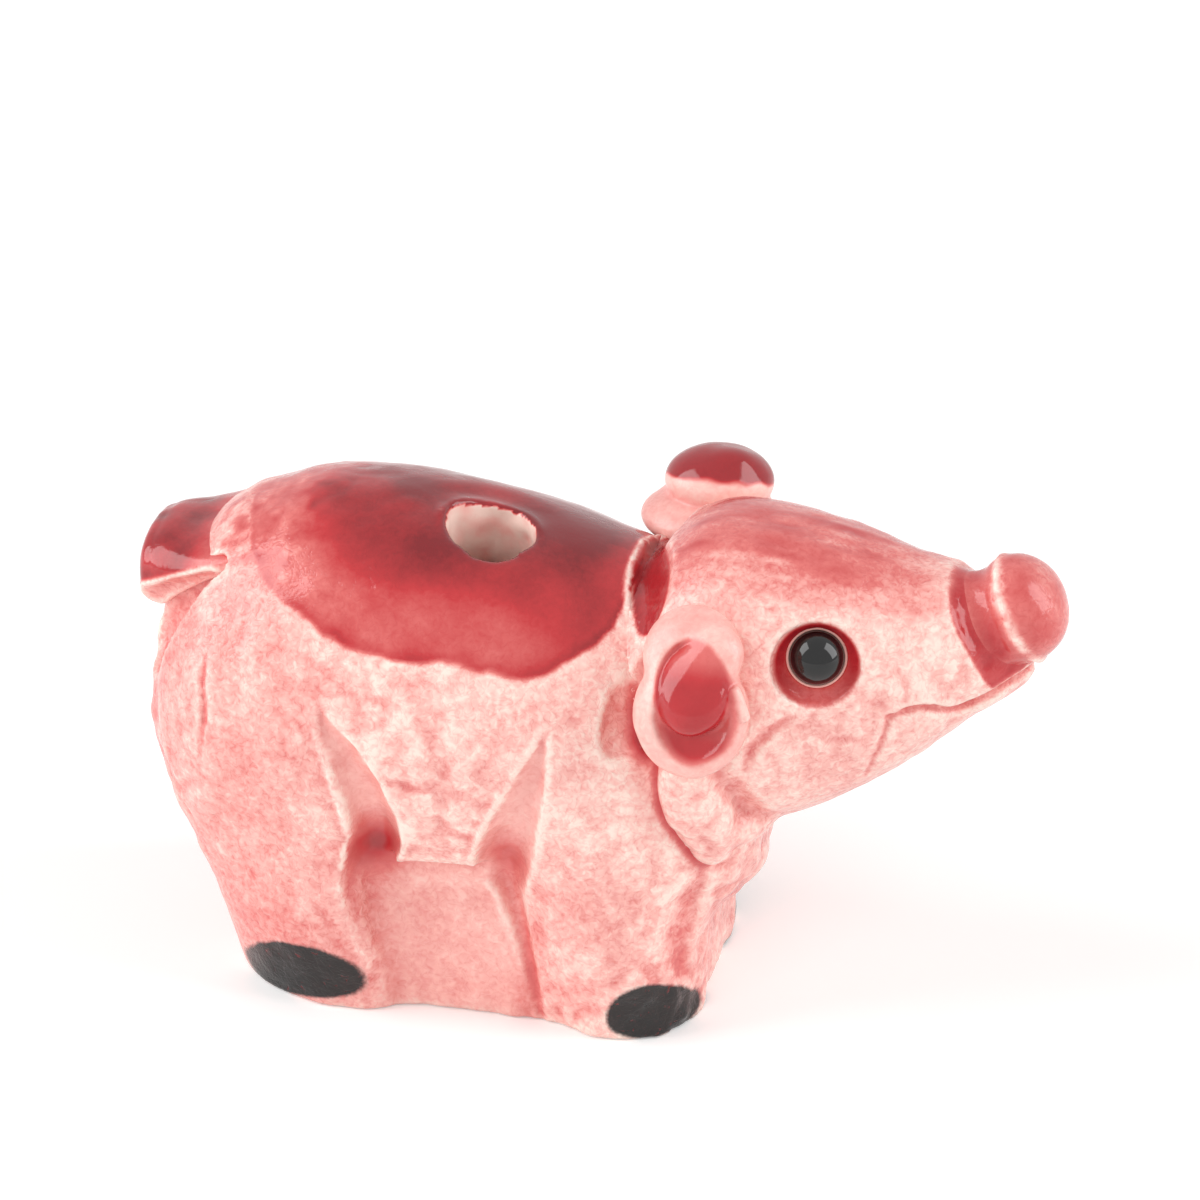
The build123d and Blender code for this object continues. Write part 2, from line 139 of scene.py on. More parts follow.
# Soft creases pressed in, seen from the side: X, Z, half width and depth
CHEST_CREASE = (
    (9.9, 14.4, 0.8, 0.2),
    (9.0, 11.8, 1.4, 0.5),
    (8.3, 8.7, 1.4, 0.5),
    (8.2, 5.0, 0.8, 0.2),
)
JAW_FOLD = ((23.2, 28.0, 0.35, 0.2), (22.6, 25.6, 0.4, 0.2), (21.4, 22.4, 0.3, 0.1))
CHEEK_CREASE = (
    (16.8, 28.6, 0.4, 0.1),
    (15.2, 27.5, 0.8, 0.3),
    (13.9, 26.0, 0.9, 0.4),
    (13.2, 24.2, 0.6, 0.1),
)
JOWL_VALLEY = (
    (11.4, 24.0, 1.2, 0.05),
    (12.4, 21.8, 1.7, 0.35),
    (13.3, 19.6, 1.7, 0.35),
    (14.0, 17.6, 1.2, 0.05),
)

# Crack that opened on the right of the rump as the clay dried, seen from the side
CRACK = (
    (-26.8, 28.9, 0.2, 0.05),
    (-26.9, 27.2, 0.3, 0.2),
    (-26.7, 24.6, 0.3, 0.25),
    (-27.2, 21.0, 0.2, 0.1),
)

# Groove over the neck, seen from above: X, Y, half width and depth
NECK_GROOVE = (
    (5.8, -8.1, 0.3, 0.1),
    (5.5, -6.6, 1.3, 0.5),
    (5.0, -4.4, 1.55, 0.75),
    (4.5, -2.2, 1.4, 0.7),
    (4.2, 0.0, 1.1, 0.5),
    (4.5, 2.2, 1.4, 0.7),
    (5.0, 4.4, 1.55, 0.75),
    (5.5, 6.6, 1.3, 0.5),
    (5.8, 8.1, 0.3, 0.1),
)

# Head: place along X, half width, top and bottom
HEAD = (
    (2.1, 8.6, 33.4, 17.0),
    (8.2, 11.0, 38.5, 14.8),
    (13.1, 10.8, 39.0, 15.6),
    (18.1, 9.4, 38.3, 17.6),
    (23.1, 7.4, 37.0, 20.8),
    (28.0, 5.1, 35.8, 25.0),
    (30.0, 3.8, 34.1, 26.6),
    (32.6, 1.1, 31.4, 28.6),
)
HEAD_SQUARENESS = 2.25

# Snout: a domed button on a cove that is cut round the nose
SNOUT_MIDDLE = np.array((31.46, 0.0, 34.2))
SNOUT_TILT = math.radians(28.0)
SNOUT_RADIUS = 3.9
SNOUT_DOME = 3.2
COVE_BACK = 1.85
COVE_RING = 5.2
COVE_RADIUS = 1.75

# Tail: place along X, half width, top and bottom
TAIL = (
    (-34.9, 2.2, 32.0, 29.2),
    (-34.3, 3.8, 33.4, 28.0),
    (-33.0, 4.8, 34.0, 27.7),
    (-30.4, 5.8, 34.2, 29.6),
    (-27.4, 6.4, 34.7, 31.8),
    (-25.0, 6.6, 35.1, 33.0),
)

# Hollows pressed with a round tool, on the left side: both ends, and the half width at each
TAIL_HOLLOW = ((-27.8, 6.8, 32.0), (-35.4, 4.6, 27.0), (1.2, 2.2))
RUMP_HOLLOW = ((-26.9, 6.2, 33.6), (-33.6, 5.8, 27.0), (0.9, 3.4))
CHEST_NOTCH = ((8.6, 8.6, 7.0), (11.0, 6.6, 7.6), (0.3, 0.5))

# Eyes: middle of a socket's rim on the left side, the way that it faces, and the bead and the bowl round it
EYE_MIDDLE = np.array((18.05, 8.5, 32.8))
EYE_OUT = np.array((0.193, 0.907, 0.375))
EYE_DEPTH = 1.2
BEAD_RADIUS = 2.0
BEAD_GAP = 0.15
SOCKET_RADIUS = 3.4
SOCKET_HOLLOW = 1.9
SOCKET_RISE = 0.35
SOCKET_DROP = 0.55
# Outside of the cement round a bead, from its foot up over the rim: radius, and height from the bead's middle
BED_PROFILE = ((0.0, -2.4), (2.1, -2.4), (2.2, -2.2), (2.22, 0.0), (2.2, 0.22), (2.1, 0.3), (2.0, 0.22))

# Ears: middle of each one, how far it droops, and how far its hood tips out
EAR_MIDDLES = {"right": np.array((10.3, -11.7, 30.6)), "left": np.array((6.9, 11.7, 33.6))}
EAR_DROOP = math.radians(14.0)
HOOD_TIP = math.radians(-28.0)

# Parts of an ear: middle, as forward, down and out from the ear's own, and half sizes
EAR_LOBE = ((-0.7, 1.5, 0.0), (4.25, 4.7, 2.5))
EAR_HOOD = ((-1.0, -2.7, -0.7), (3.6, 3.7, 1.9))
HOOD_HOLLOW = ((0.3, -1.5, 2.2), (3.6, 3.5, 2.0))
EAR_CUP = ((-0.05, 1.2, 2.9), (3.35, 4.0, 2.2))
EAR_PAD = ((-0.45, -0.7, 0.5), (2.8, 3.6, 2.0))
EAR_SWELL = ((0.8, -3.2, 0.2), (2.0, 2.0, 1.4))

# Strand along an ear's front rim: both ends, as forward, down and out from the ear's middle, and radius
EAR_RIM = ((2.6, -0.8, 0.9), (3.4, 1.0, 0.8), 0.4)

# Plug that ends the left ear: middle and half sizes of its cap, half sizes and height of the band below,
# and the foot's place from the middle and half sizes
PLUG_MIDDLE = np.array((6.75, 11.2, 35.9))
PLUG_CAP = (4.1, 3.7, 2.6)
PLUG_BAND = (3.8, 3.4)
PLUG_HEIGHT = 5.0
PLUG_FOOT = ((-0.4, -1.5, -2.3), (5.2, 4.4, 1.9))

# Leaf-shaped hollow behind the left ear: place from the ear's middle, half sizes, and how it faces and runs
LEAF_OFFSET = np.array((-4.3, -0.5, -2.3))
LEAF_HALF = (3.0, 5.3, 1.8)
LEAF_OUT = np.array((-0.2, 0.86, 0.46))
LEAF_ALONG = np.array((0.2, 0.0, 1.0))

# Jowl: upper and lower end on the left side, half width, half length and half thickness, and the way it faces
JOWL_ENDS = (np.array((8.3, 10.7, 24.4)), np.array((11.1, 9.2, 15.2)))
JOWL_HALF = (2.5, 5.3, 1.9)
JOWL_OUT = np.array((0.25, 0.93, -0.2))

# Lump that fills the throat beside a jowl: middle on the left side, and half sizes
THROAT_MIDDLE = np.array((12.5, 6.0, 17.8))
THROAT_HALF = (2.0, 3.2, 1.8)

# How deep the head, or a smaller lump, is pressed into the clay that it sits on, and the ease of that joint
HEAD_BED = 0.3
LUMP_BED = 0.25
JOINT_EASE = 0.1

# Round hole in the back
HOLE_FOOT = np.array((-7.55, 0.0, 22.5))
HOLE_AXIS = np.array((0.0, -math.sin(math.radians(10.0)), math.cos(math.radians(10.0))))
HOLE_RADIUS = 3.3

# Lower edge of the red saddle on each flank: X and Z
SADDLE_EDGE = (
    (-27.6, 39.5),
    (-26.2, 37.2),
    (-24.9, 35.6),
    (-23.4, 34.5),
    (-21.1, 33.4),
    (-17.4, 31.9),
    (-14.6, 31.2),
    (-11.3, 30.9),
    (-8.0, 30.9),
    (-5.5, 30.5),
    (-3.0, 30.2),
    (-0.7, 30.6),
    (0.9, 31.3),
    (2.2, 32.3),
    (3.1, 33.4),
    (3.7, 35.0),
    (4.3, 39.5),
)

# Glaze that ran together at the foot of the carved lines, seen from the side: X, Z, both spreads and amount
LINE_POOLS = (
    (-14.2, 14.6, 2.1, 2.6, 0.7),
    (-4.2, 14.6, 1.6, 2.4, 0.42),
)

# Black patches on the feet, seen from the side: X, Z, half length, half height and slope
HOOVES = (
    (-20.3, 2.9, 5.4, 2.5, 0.0),
    (6.4, 3.0, 3.1, 2.5, 0.25),
)

# Boxes that hold the sample points: low and high corner, or reach from the middle of the piece
BODY_SPAN = ((-34.6, -15.6, -0.8), (14.6, 15.6, 40.2))
HEAD_SPAN = ((-0.4, -14.0, 12.6), (34.4, 14.0, 40.2))
TAIL_SPAN = ((-35.8, -8.2, 26.0), (-23.6, 8.2, 37.4))
SNOUT_REACH = 5.2
EAR_REACH = np.array((6.6, 7.6, 7.4))

# Coarser box round the neck, where the body's glaze follows the head: low and high corner, and spacing
NECK_SPAN = ((-1.0, -15.0, 10.0), (15.0, 15.0, 40.0))
NECK_STEP = 0.4

# Box that the random reliefs cover: its low corner and its spans
LATTICE_LOW = (-44.0, -24.0, -8.0)
LATTICE_SPAN = (88.0, 48.0, 56.0)

# Lamps: place and size in metres, and power in watts
LAMPS = {
    "left softbox": ((-0.44, -0.12, 0.29), (0.34, 0.54), 2.1),
    "right softbox": ((0.44, 0.03, 0.30), (0.30, 0.50), 1.7),
    "front fill": ((-0.06, -0.50, 0.28), (0.50, 0.30), 0.95),
}
LAMPS_AIM = Vector((0, 0, 0.018))

# The photo's view: turn, height and distance of the camera, its image, and where the origin shows in it
VIEW_TURN = math.radians(13.0)
VIEW_HEIGHT = math.radians(29.0)
VIEW_DISTANCE = 0.42
IMAGE_PIXELS = 1200
PIXELS_PER_METRE = 13100
ORIGIN_PIXEL = (598, 953)

# Settings that several nodes share
SMOOTH = {"interpolation_type": "SMOOTHSTEP"}
COLOUR = {"data_type": "RGBA"}

# Corners of a cell of sample points, the value that fills a pinched square of them, a distance far from
# every form, and the room left round a form that is pressed on or in
CORNERS = tuple(itertools.product((0, 1), repeat=3))
FILLED = -0.02
FAR = 99.0
ROOM = 1.0


def linear(hex_colour):
    """A colour written as sRGB hex, as the linear values that Blender works in."""
    parts = [int(hex_colour[i : i + 2], 16) / 255 for i in (1, 3, 5)]
    return tuple(c / 12.92 if c <= 0.04045 else ((c + 0.055) / 1.055) ** 2.4 for c in parts)


class ClayPigSizes(bpy.types.PropertyGroup):
    """Sizes of the sculpted clay"""

    body_step: FloatProperty(
        name="Body detail", description="Spacing of the body's sample points",
        default=0.25 * MM, unit="LENGTH", precision=5,
    )
    head_step: FloatProperty(
        name="Head detail", description="Spacing of the head's sample points",
        default=0.2 * MM, unit="LENGTH", precision=5,
    )
    fine_step: FloatProperty(
        name="Fine detail", description="Spacing of sample points on the ears, snout and tail",
        default=0.14 * MM, unit="LENGTH", precision=5,
    )
    seam_height: FloatProperty(
        name="Seam height", description="Height of the level seam between the two shells of the body",
        default=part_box("back_shell")[0].z, unit="LENGTH", precision=5,
    )
    wall: FloatProperty(
        name="Wall", description="Thickness of the hollow body", default=4.0 * MM, unit="LENGTH", precision=5
    )
    lumps: FloatProperty(
        name="Hand marks", description="Height of the uneven hand marks",
        default=0.12 * MM, unit="LENGTH", precision=5,
    )
    burr: FloatProperty(
        name="Burr", description="Height of the clay pushed up beside a carved line",
        default=0.16 * MM, unit="LENGTH", precision=5,
    )


def mm(length):
    """A user's length in metres, as millimetres."""
    return round(length / MM, 4)


class ClayPigColours(bpy.types.PropertyGroup):
    """Colours of the glaze, the paint and the beads"""

    cream: FloatVectorProperty(
        name="Bare edge", description="Thinnest glaze, over raised edges", subtype="COLOR",
        default=linear("#fbe0d4"),
    )
    pink: FloatVectorProperty(
        name="Pink", description="Thin glaze on the flanks", subtype="COLOR", default=linear("#f4b3aa")
    )
    salmon: FloatVectorProperty(
        name="Salmon", description="Medium glaze", subtype="COLOR", default=linear("#dc736e")
    )
    red: FloatVectorProperty(
        name="Red", description="Thick glaze", subtype="COLOR", default=linear("#bd2b30")
    )
    deep: FloatVectorProperty(
        name="Deep red", description="Thickest, pooled glaze", subtype="COLOR", default=linear("#7c0b15")
    )
    hoof: FloatVectorProperty(
        name="Hooves", description="Black oxide on the hooves", subtype="COLOR", default=linear("#130e0d")
    )
    bead: FloatVectorProperty(
        name="Beads", description="Black glass", subtype="COLOR", default=linear("#0a0909")
    )
    cement: FloatVectorProperty(
        name="Cement", description="Bedding of the beads", subtype="COLOR", default=linear("#d9a79a")
    )
    floor: FloatVectorProperty(
        name="Floor", description="Studio floor", subtype="COLOR", default=linear("#faf9f8")
    )


class Block:
    """Evenly spaced sample points that fill a box."""

    def __init__(self, axes, step):
        self.axes = axes
        self.step = step
        self.x = axes[0][:, None, None]
        self.y = axes[1][None, :, None]
        self.z = axes[2][None, None, :]

    @classmethod
    def spanning(cls, low, high, step):
        """A block between two corners."""
        axes = [np.arange(a, b + step, step, dtype=np.float32) for a, b in zip(low, high)]
        return cls(axes, step)

    def window(self, low, high):
        """The slices and the smaller block of the points between two corners."""
        cuts = tuple(
            slice(int(np.searchsorted(axis, a)), int(np.searchsorted(axis, b)))
            for axis, a, b in zip(self.axes, low, high)
        )
        return cuts, Block([axis[c] for axis, c in zip(self.axes, cuts)], self.step)

    @property
    def empty(self):
        """Whether no sample point is in it."""
        return min(len(axis) for axis in self.axes) == 0


def join(a, b, soft):
    """Two forms pressed together with a fillet of about the given size."""
    share = np.clip(0.5 + 0.5 * (b - a) / soft, 0, 1)
    return b + (a - b) * share - soft * share * (1 - share)


def cut(a, b, soft):
    """A form with another one cut out of it, its edges eased by the given size."""
    return -join(-a, b, soft)


def ramp(value, start, end):
    """0 before start, 1 after end, and smooth between them."""
    t = np.clip((value - start) / (end - start), 0, 1)
    return t * t * (3 - 2 * t)


def bell(value, middle, spread):
    """1 at the middle, and less to either side."""
    return np.exp(-(((value - middle) / spread) ** 2))


def curve(stations, values, at):
    """Values on a smooth curve through the stations."""
    stations = np.asarray(stations, dtype=float)
    values = np.asarray(values, dtype=float)
    slopes = np.gradient(values, stations)
    i = np.clip(np.searchsorted(stations, at) - 1, 0, len(stations) - 2)
    span = stations[i + 1] - stations[i]
    t = np.clip((at - stations[i]) / span, 0, 1)
    rise = t * t * (3 - 2 * t)
    value = values[i] * (1 - rise) + values[i + 1] * rise
    value = value + span * t * (1 - t) * ((1 - t) * slopes[i] - t * slopes[i + 1])
    return value.astype(np.float32)


def unit(vector):
    """A vector of length 1."""
    vector = np.asarray(vector, dtype=float)
    return vector / np.linalg.norm(vector)


def mirrored(point, side):
    """A point of the left side, as it is on the given side."""
    return point * np.array((1, side, 1))


def axes_from(out, along):
    """Three square axes: one across, one near to along, and out itself."""
    out = unit(out)
    along = unit(along - np.dot(along, out) * out)
    return np.array((np.cross(along, out), along, out))


def local(block, middle, axes):
    """Coordinates of the sample points from a middle, along its own axes."""
    x, y, z = block.x - middle[0], block.y - middle[1], block.z - middle[2]
    return [np.float32(a[0]) * x + np.float32(a[1]) * y + np.float32(a[2]) * z for a in axes]


def egg(block, middle, half, axes):
    """Distance from an egg shape."""
    parts = local(block, middle, axes)
    near = np.sqrt(sum((p / h) ** 2 for p, h in zip(parts, half)))
    steep = np.sqrt(sum((p / h**2) ** 2 for p, h in zip(parts, half)))
    return near * (near - 1) / np.maximum(steep, 1e-6)


def lump(block, field, middle, half, axes, soft, cutting=False):
    """Presses an egg of clay on to the form, or scoops it out."""
    reach = max(half) + soft + ROOM
    cuts, part = block.window(np.subtract(middle, reach), np.add(middle, reach))
    if part.empty:
        return
    shape = egg(part, middle, half, axes)
    field[cuts] = cut(field[cuts], shape, soft) if cutting else join(field[cuts], shape, soft)


def beside(block, start, end):
    """How far along a line the sample points lie, from 0 to 1, and how far from it."""
    run = np.subtract(end, start)
    x, y, z = local(block, start, np.eye(3))
    t = np.clip((x * run[0] + y * run[1] + z * run[2]) / (run @ run), 0, 1)
    return t, np.sqrt((x - run[0] * t) ** 2 + (y - run[1] * t) ** 2 + (z - run[2] * t) ** 2)


def strand(block, start, end, radius):
    """Distance from a rolled strand of clay."""
    return beside(block, start, end)[1] - radius


def trench(block, field, hollow, side, soft):
    """Presses a round-ended hollow of the left side into the given side of the form."""
    start, end = (mirrored(point, side) for point in hollow[:2])
    wide = hollow[2]
    reach = max(wide) + soft + ROOM
    cuts, part = block.window(np.minimum(start, end) - reach, np.maximum(start, end) + reach)
    if part.empty:
        return
    t, gap = beside(part, start, end)
    field[cuts] = cut(field[cuts], gap - (wide[0] + (wide[1] - wide[0]) * t), soft)


def to_distance(share, step):
    """Turns a field that is 1 on a surface into a distance from it."""
    slopes = np.gradient(share, step)
    return (share - 1) / np.sqrt(sum(s * s for s in slopes) + 1e-6)


def loft(block, table, squareness, end_ease):
    """Distance from a form with oval sections along X."""
    stations, half_width, top, bottom = np.array(table).T
    along = block.axes[0]
    wide = curve(stations, half_width, along)[:, None, None]
    high = curve(stations, top, along)[:, None, None]
    low = curve(stations, bottom, along)[:, None, None]
    across = np.abs(block.y / wide) ** squareness
    upright = np.abs((block.z - (high + low) / 2) / ((high - low) / 2)) ** squareness
    form = to_distance((across + upright) ** (1 / squareness), block.step)
    # Where the sections change fast the distance reads short, so it is kept up well away from the form
    form = np.maximum(form, 2 * (np.abs(block.y) - np.float32(half_width.max() + 0.3)))
    form = cut(form, block.x - np.float32(stations[0]), end_ease)
    return cut(form, np.float32(stations[-1]) - block.x, end_ease)


def leg(block, table, turn, side):
    """Distance from a leg with oval sections up along Z."""
    levels, place_x, place_y, half_length, half_width = np.array(table).T
    up = np.clip(block.axes[2], levels[0], levels[-1])
    mx, my, a, b = (
        curve(levels, column, up)[None, None, :]
        for column in (place_x, place_y * side, half_length, half_width)
    )
    c, s = math.cos(turn), math.sin(turn)
    u = c * (block.x - mx) + s * (block.y - my)
    v = -s * (block.x - mx) + c * (block.y - my)
    form = to_distance(np.sqrt((u / a) ** 2 + (v / b) ** 2), block.step)
    return cut(form, np.float32(levels[-1]) - block.z, 2.0)


def rounded_box(block, low, high, corner):
    """Distance from a box with rounded corners."""
    middle, half = (np.add(low, high) / 2), (np.subtract(high, low) / 2 - corner)
    parts = [np.abs(p) - h for p, h in zip(local(block, middle, np.eye(3)), half)]
    outside = np.sqrt(sum(np.maximum(p, 0) ** 2 for p in parts))
    inside = np.minimum(np.maximum(np.maximum(parts[0], parts[1]), parts[2]), 0)
    return outside + inside - corner


def smooth_line(rows, rounds=5):
    """A drawn line with more rows between the given ones, on a smooth curve."""
    rows = np.array(rows, dtype=float)
    at = np.linspace(0, len(rows) - 1, (len(rows) - 1) * rounds + 1)
    return np.stack([curve(np.arange(len(rows)), column, at) for column in rows.T], axis=1)


def carve(block, field, line, across, where, burr=0.0, ease=1):
    """Cuts a line drawn along one axis into the form, with the crumbs that the tool pushes up."""
    rows = smooth_line(line)
    seen = [i for i in range(3) if i != across]
    margin = rows[:, 2].max() + 1.2
    low, high = np.full(3, -FAR), np.full(3, FAR)
    low[seen] = rows[:, :2].min(axis=0) - margin
    high[seen] = rows[:, :2].max(axis=0) + margin
    cuts, part = block.window(low, high)
    if part.empty:
        return
    u, v = part.axes[seen[0]][:, None], part.axes[seen[1]][None, :]
    edge = np.full((u.size, v.size), FAR, dtype=np.float32)
    half, depth = np.ones_like(edge), np.zeros_like(edge)
    for a, b in zip(rows, rows[1:]):
        run = b[:2] - a[:2]
        t = np.clip(((u - a[0]) * run[0] + (v - a[1]) * run[1]) / (run @ run), 0, 1)
        wide = a[2] + (b[2] - a[2]) * t
        gap = np.hypot(u - a[0] - run[0] * t, v - a[1] - run[1] * t) - wide
        nearer = gap < edge
        edge = np.where(nearer, gap, edge)
        half = np.where(nearer, wide, half)
        depth = np.where(nearer, a[3] + (b[3] - a[3]) * t, depth)
    share = np.clip((edge + half) / half, 0, 1)
    relief = np.expand_dims(depth * (1 - share**2) ** ease, across)
    if burr:
        lip = burr * bell(edge, 0.12, 0.24) * np.clip(1.4 * depth, 0, 1)
        crumbs = 0.55 + 1.1 * clay_relief(part, 0.7, 15) + 0.7 * clay_relief(part, 2.3, 16)
        crumbs = np.clip(crumbs, 0, 2)
        relief = relief - np.expand_dims(lip, across) * crumbs
    field[cuts] += where(part) * relief.astype(np.float32)


def spline_weights(places, origin, size, count):
    """Weights of a random lattice's points along one axis."""
    at = (np.asarray(places) - origin) / size
    first = np.floor(at).astype(int)
    t = at - first
    weights = np.zeros((len(at), count), dtype=np.float32)
    rows = np.arange(len(at))
    for k, w in enumerate(
        ((1 - t) ** 3, 3 * t**3 - 6 * t**2 + 4, -3 * t**3 + 3 * t**2 + 3 * t + 1, t**3)
    ):
        weights[rows, np.clip(first - 1 + k, 0, count - 1)] += w / 6
    return weights


def lattice(size, seed):
    """Random values from -1 to 1, their points the given size apart."""
    counts = [int(span / size) + 4 for span in LATTICE_SPAN]
    return np.random.default_rng(seed).uniform(-1, 1, counts).astype(np.float32)


def clay_relief(block, size, seed):
    """Smooth random relief, its lumps about the given size across."""
    values = lattice(size, seed)
    for i in range(3):
        weights = spline_weights(block.axes[i], LATTICE_LOW[i], size, values.shape[i])
        values = np.moveaxis(np.tensordot(weights, values, axes=(1, i)), 0, i)
    return 2.2 * values


def between_points(values, at, eased=False):
    """Values of a grid at places between its points."""
    first = np.clip(np.floor(at).astype(int), 0, np.array(values.shape) - 2)
    t = np.clip(at - first, 0, 1)
    if eased:
        t = t * t * (3 - 2 * t)
    total = np.zeros(len(at))
    for corner in CORNERS:
        total += np.prod(np.where(corner, t, 1 - t), axis=1) * values[tuple((first + corner).T)]
    return total


def dapple(points, size, seed):
    """The same kind of relief at single points."""
    return between_points(lattice(size, seed), (points - np.array(LATTICE_LOW)) / size, eased=True)


def soften(field, reach):
    """The field averaged over boxes of the given reach, in sample points."""
    for axis in range(3):
        pads = [(reach + 1, reach) if i == axis else (0, 0) for i in range(3)]
        sums = np.cumsum(np.pad(field, pads, mode="edge"), axis=axis, dtype=np.float64)
        n = field.shape[axis]
        ahead = np.take(sums, range(2 * reach + 1, 2 * reach + 1 + n), axis=axis)
        behind = np.take(sums, range(n), axis=axis)
        field = ((ahead - behind) / (2 * reach + 1)).astype(np.float32)
    return field


def sample(field, block, points):
    """Values of a field at points between its sample points."""
    low = np.array([axis[0] for axis in block.axes])
    return between_points(field, (points - low) / block.step)


def settle(field):
    """The field with no square of points filled on one diagonal alone, where the skin would pinch."""
    field = field.copy()
    for _ in range(8):
        pinched = 0
        for first, second in ((0, 1), (0, 2), (1, 2)):
            views = {}
            for i, j in itertools.product((0, 1), repeat=2):
                part = [slice(None)] * 3
                part[first], part[second] = slice(i, i - 1 or None), slice(j, j - 1 or None)
                views[i, j] = field[tuple(part)]
            a, b, c, d = (views[spot] < 0 for spot in ((0, 0), (1, 1), (0, 1), (1, 0)))
            odd = (a == b) & (c == d) & (a != c)
            pinched += int(odd.sum())
            views[0, 1][odd & a] = FILLED
            views[0, 0][odd & c] = FILLED
        if not pinched:
            break
    return field


def skin(field, block):
    """Points and faces of the closed surface where the field crosses zero."""
    field = settle(field)
    inside = field < 0
    filled = sum(
        inside[tuple(slice(i, i - 1 or None) for i in corner)].astype(np.int8) for corner in CORNERS
    )
    cells = np.argwhere((filled > 0) & (filled < 8))
    number = np.full(filled.shape, -1, dtype=np.int32)
    number[tuple(cells.T)] = np.arange(len(cells))
    total, crossings = np.zeros((len(cells), 3)), np.zeros(len(cells))
    for axis in range(3):
        others = [i for i in range(3) if i != axis]
        for offset in itertools.product((0, 1), repeat=2):
            start = cells.copy()
            start[:, others] += offset
            end = start.copy()
            end[:, axis] += 1
            a, b = field[tuple(start.T)], field[tuple(end.T)]
            crossed = (a < 0) != (b < 0)
            point = start[crossed].astype(float)
            point[:, axis] += (a / np.where(crossed, a - b, 1))[crossed]
            total[crossed] += point
            crossings += crossed
    low = np.array([axis[0] for axis in block.axes], dtype=float)
    points = low + block.step * total / crossings[:, None]
    faces = []
    for axis in range(3):
        others = [(axis + 1) % 3, (axis + 2) % 3]
        ahead = np.moveaxis(inside, axis, 0)
        leaving = np.moveaxis(ahead[:-1] & ~ahead[1:], 0, axis)
        entering = np.moveaxis(~ahead[:-1] & ahead[1:], 0, axis)
        for crossed, order in ((leaving, 1), (entering, -1)):
            edges = np.argwhere(crossed)
            ring = []
            for offset in ((-1, -1), (0, -1), (0, 0), (-1, 0))[::order]:
                cell = edges.copy()
                cell[:, others] += offset
                ring.append(number[tuple(cell.T)])
            faces.append(np.stack(ring, axis=1))
    return points, np.concatenate(faces)


def barrel_and_mass(block):
    """The plain barrel, and the whole body with its legs before anything is carved."""
    barrel = loft(block, BARREL, 2.0, 1.0)
    mass = barrel
    for side in SIDES.values():
        mass = join(mass, leg(block, HIND_LEG, HIND_TURN * side, side), 3.0)
        mass = join(mass, leg(block, FORE_LEG, 0.0, side), 3.0)
    return barrel, join(mass, rounded_box(block, *PLINTH), 1.5)


def recess(block, side):
    """The hollow between the legs of one side, its walls leaning outwards."""
    levels, rear, front = np.array(RECESS_WALLS).T
    up = block.axes[2]
    out = side * block.y - np.float32(RECESS_FLOOR)
    rear = curve(levels, rear, up)[None, None, :]
    front = curve(levels, front, up)[None, None, :]
    walls = cut(rear - 0.45 * out - block.x, front + 0.45 * out - block.x, 0.8)
    walls = cut(walls, RECESS_TOP + 0.05 * out - block.z, 0.8)
    return cut(walls, out, 0.8)


def flank(side):
    """Where a line drawn on one side takes hold."""
    return lambda part: ramp(side * part.y, 3.0, 6.0)


def nape(part):
    """Where the groove over the neck takes hold."""
    return ramp(part.z, 28.0, 31.0)


def scoop_behind_ear(block, field, side_name):
    """The leaf-shaped hollow where a thumb pressed the ear's back edge down."""
    side = SIDES[side_name]
    middle = EAR_MIDDLES[side_name] + mirrored(LEAF_OFFSET, side)
    axes = axes_from(mirrored(LEAF_OUT, side), LEAF_ALONG)
    lump(block, field, middle, LEAF_HALF, axes, 0.1, cutting=True)


def carve_body(block, mass, sizes):
    """The body's carved lines and hollows, and its hand marks."""
    for side_name, side in SIDES.items():
        for line in (HIND_GROOVE, FORE_GROOVE):
            carve(block, mass, line, 1, flank(side), mm(sizes.burr))
        mass = cut(mass, recess(block, side), 0.3)
        carve(block, mass, CHEST_CREASE, 1, flank(side), ease=2)
        trench(block, mass, CHEST_NOTCH, side, 0.2)
        scoop_behind_ear(block, mass, side_name)
        trench(block, mass, RUMP_HOLLOW, side, 0.15)
    carve(block, mass, CRACK, 1, flank(SIDES["right"]))
    carve(block, mass, NECK_GROOVE, 2, nape, 0.25)
    mass += hand_marks(block, sizes)
    return np.maximum(mass, -block.z)


def hand_marks(block, sizes):
    """Uneven clay: broad hand marks, finger marks and a wrinkled skin."""
    below_back = 0.3 + 0.7 * ramp(block.z, 33.0, 29.0)
    wrinkled = np.clip(0.75 + clay_relief(block, 8.0, 4), 0.3, 1.5) * below_back
    return mm(sizes.lumps) * (
        1.4 * clay_relief(block, 7.0, 3)
        + 0.7 * clay_relief(block, 2.6, 5)
        + 1.9 * wrinkled * (0.33 - np.abs(clay_relief(block, 1.3, 8)))
        + 0.9 * wrinkled * clay_relief(block, 0.75, 9)
    )


def snout_axes():
    """Across, up and out of the snout's button."""
    out = (math.cos(SNOUT_TILT), 0.0, math.sin(SNOUT_TILT))
    return axes_from(np.array(out), np.array((0.0, 0.0, 1.0)))


def mouth_height(x):
    """Height of the mouth line at places along X."""
    places, heights, _, _ = np.array(MOUTH).T
    return curve(places, heights, x)


def cove(block):
    """The round groove behind the snout, stopped above the mouth."""
    across, up, out = local(block, SNOUT_MIDDLE, snout_axes())
    ring = np.hypot(np.hypot(across, up) - COVE_RING - 1.2 * ramp(up, -1.0, -4.5), out + COVE_BACK)
    ring = ring - COVE_RADIUS * (1 - 0.5 * ramp(up, -2.6, -4.6))
    mouth = mouth_height(block.axes[0])[:, None, None]
    return cut(ring, block.z - mouth - 0.7, 0.5)


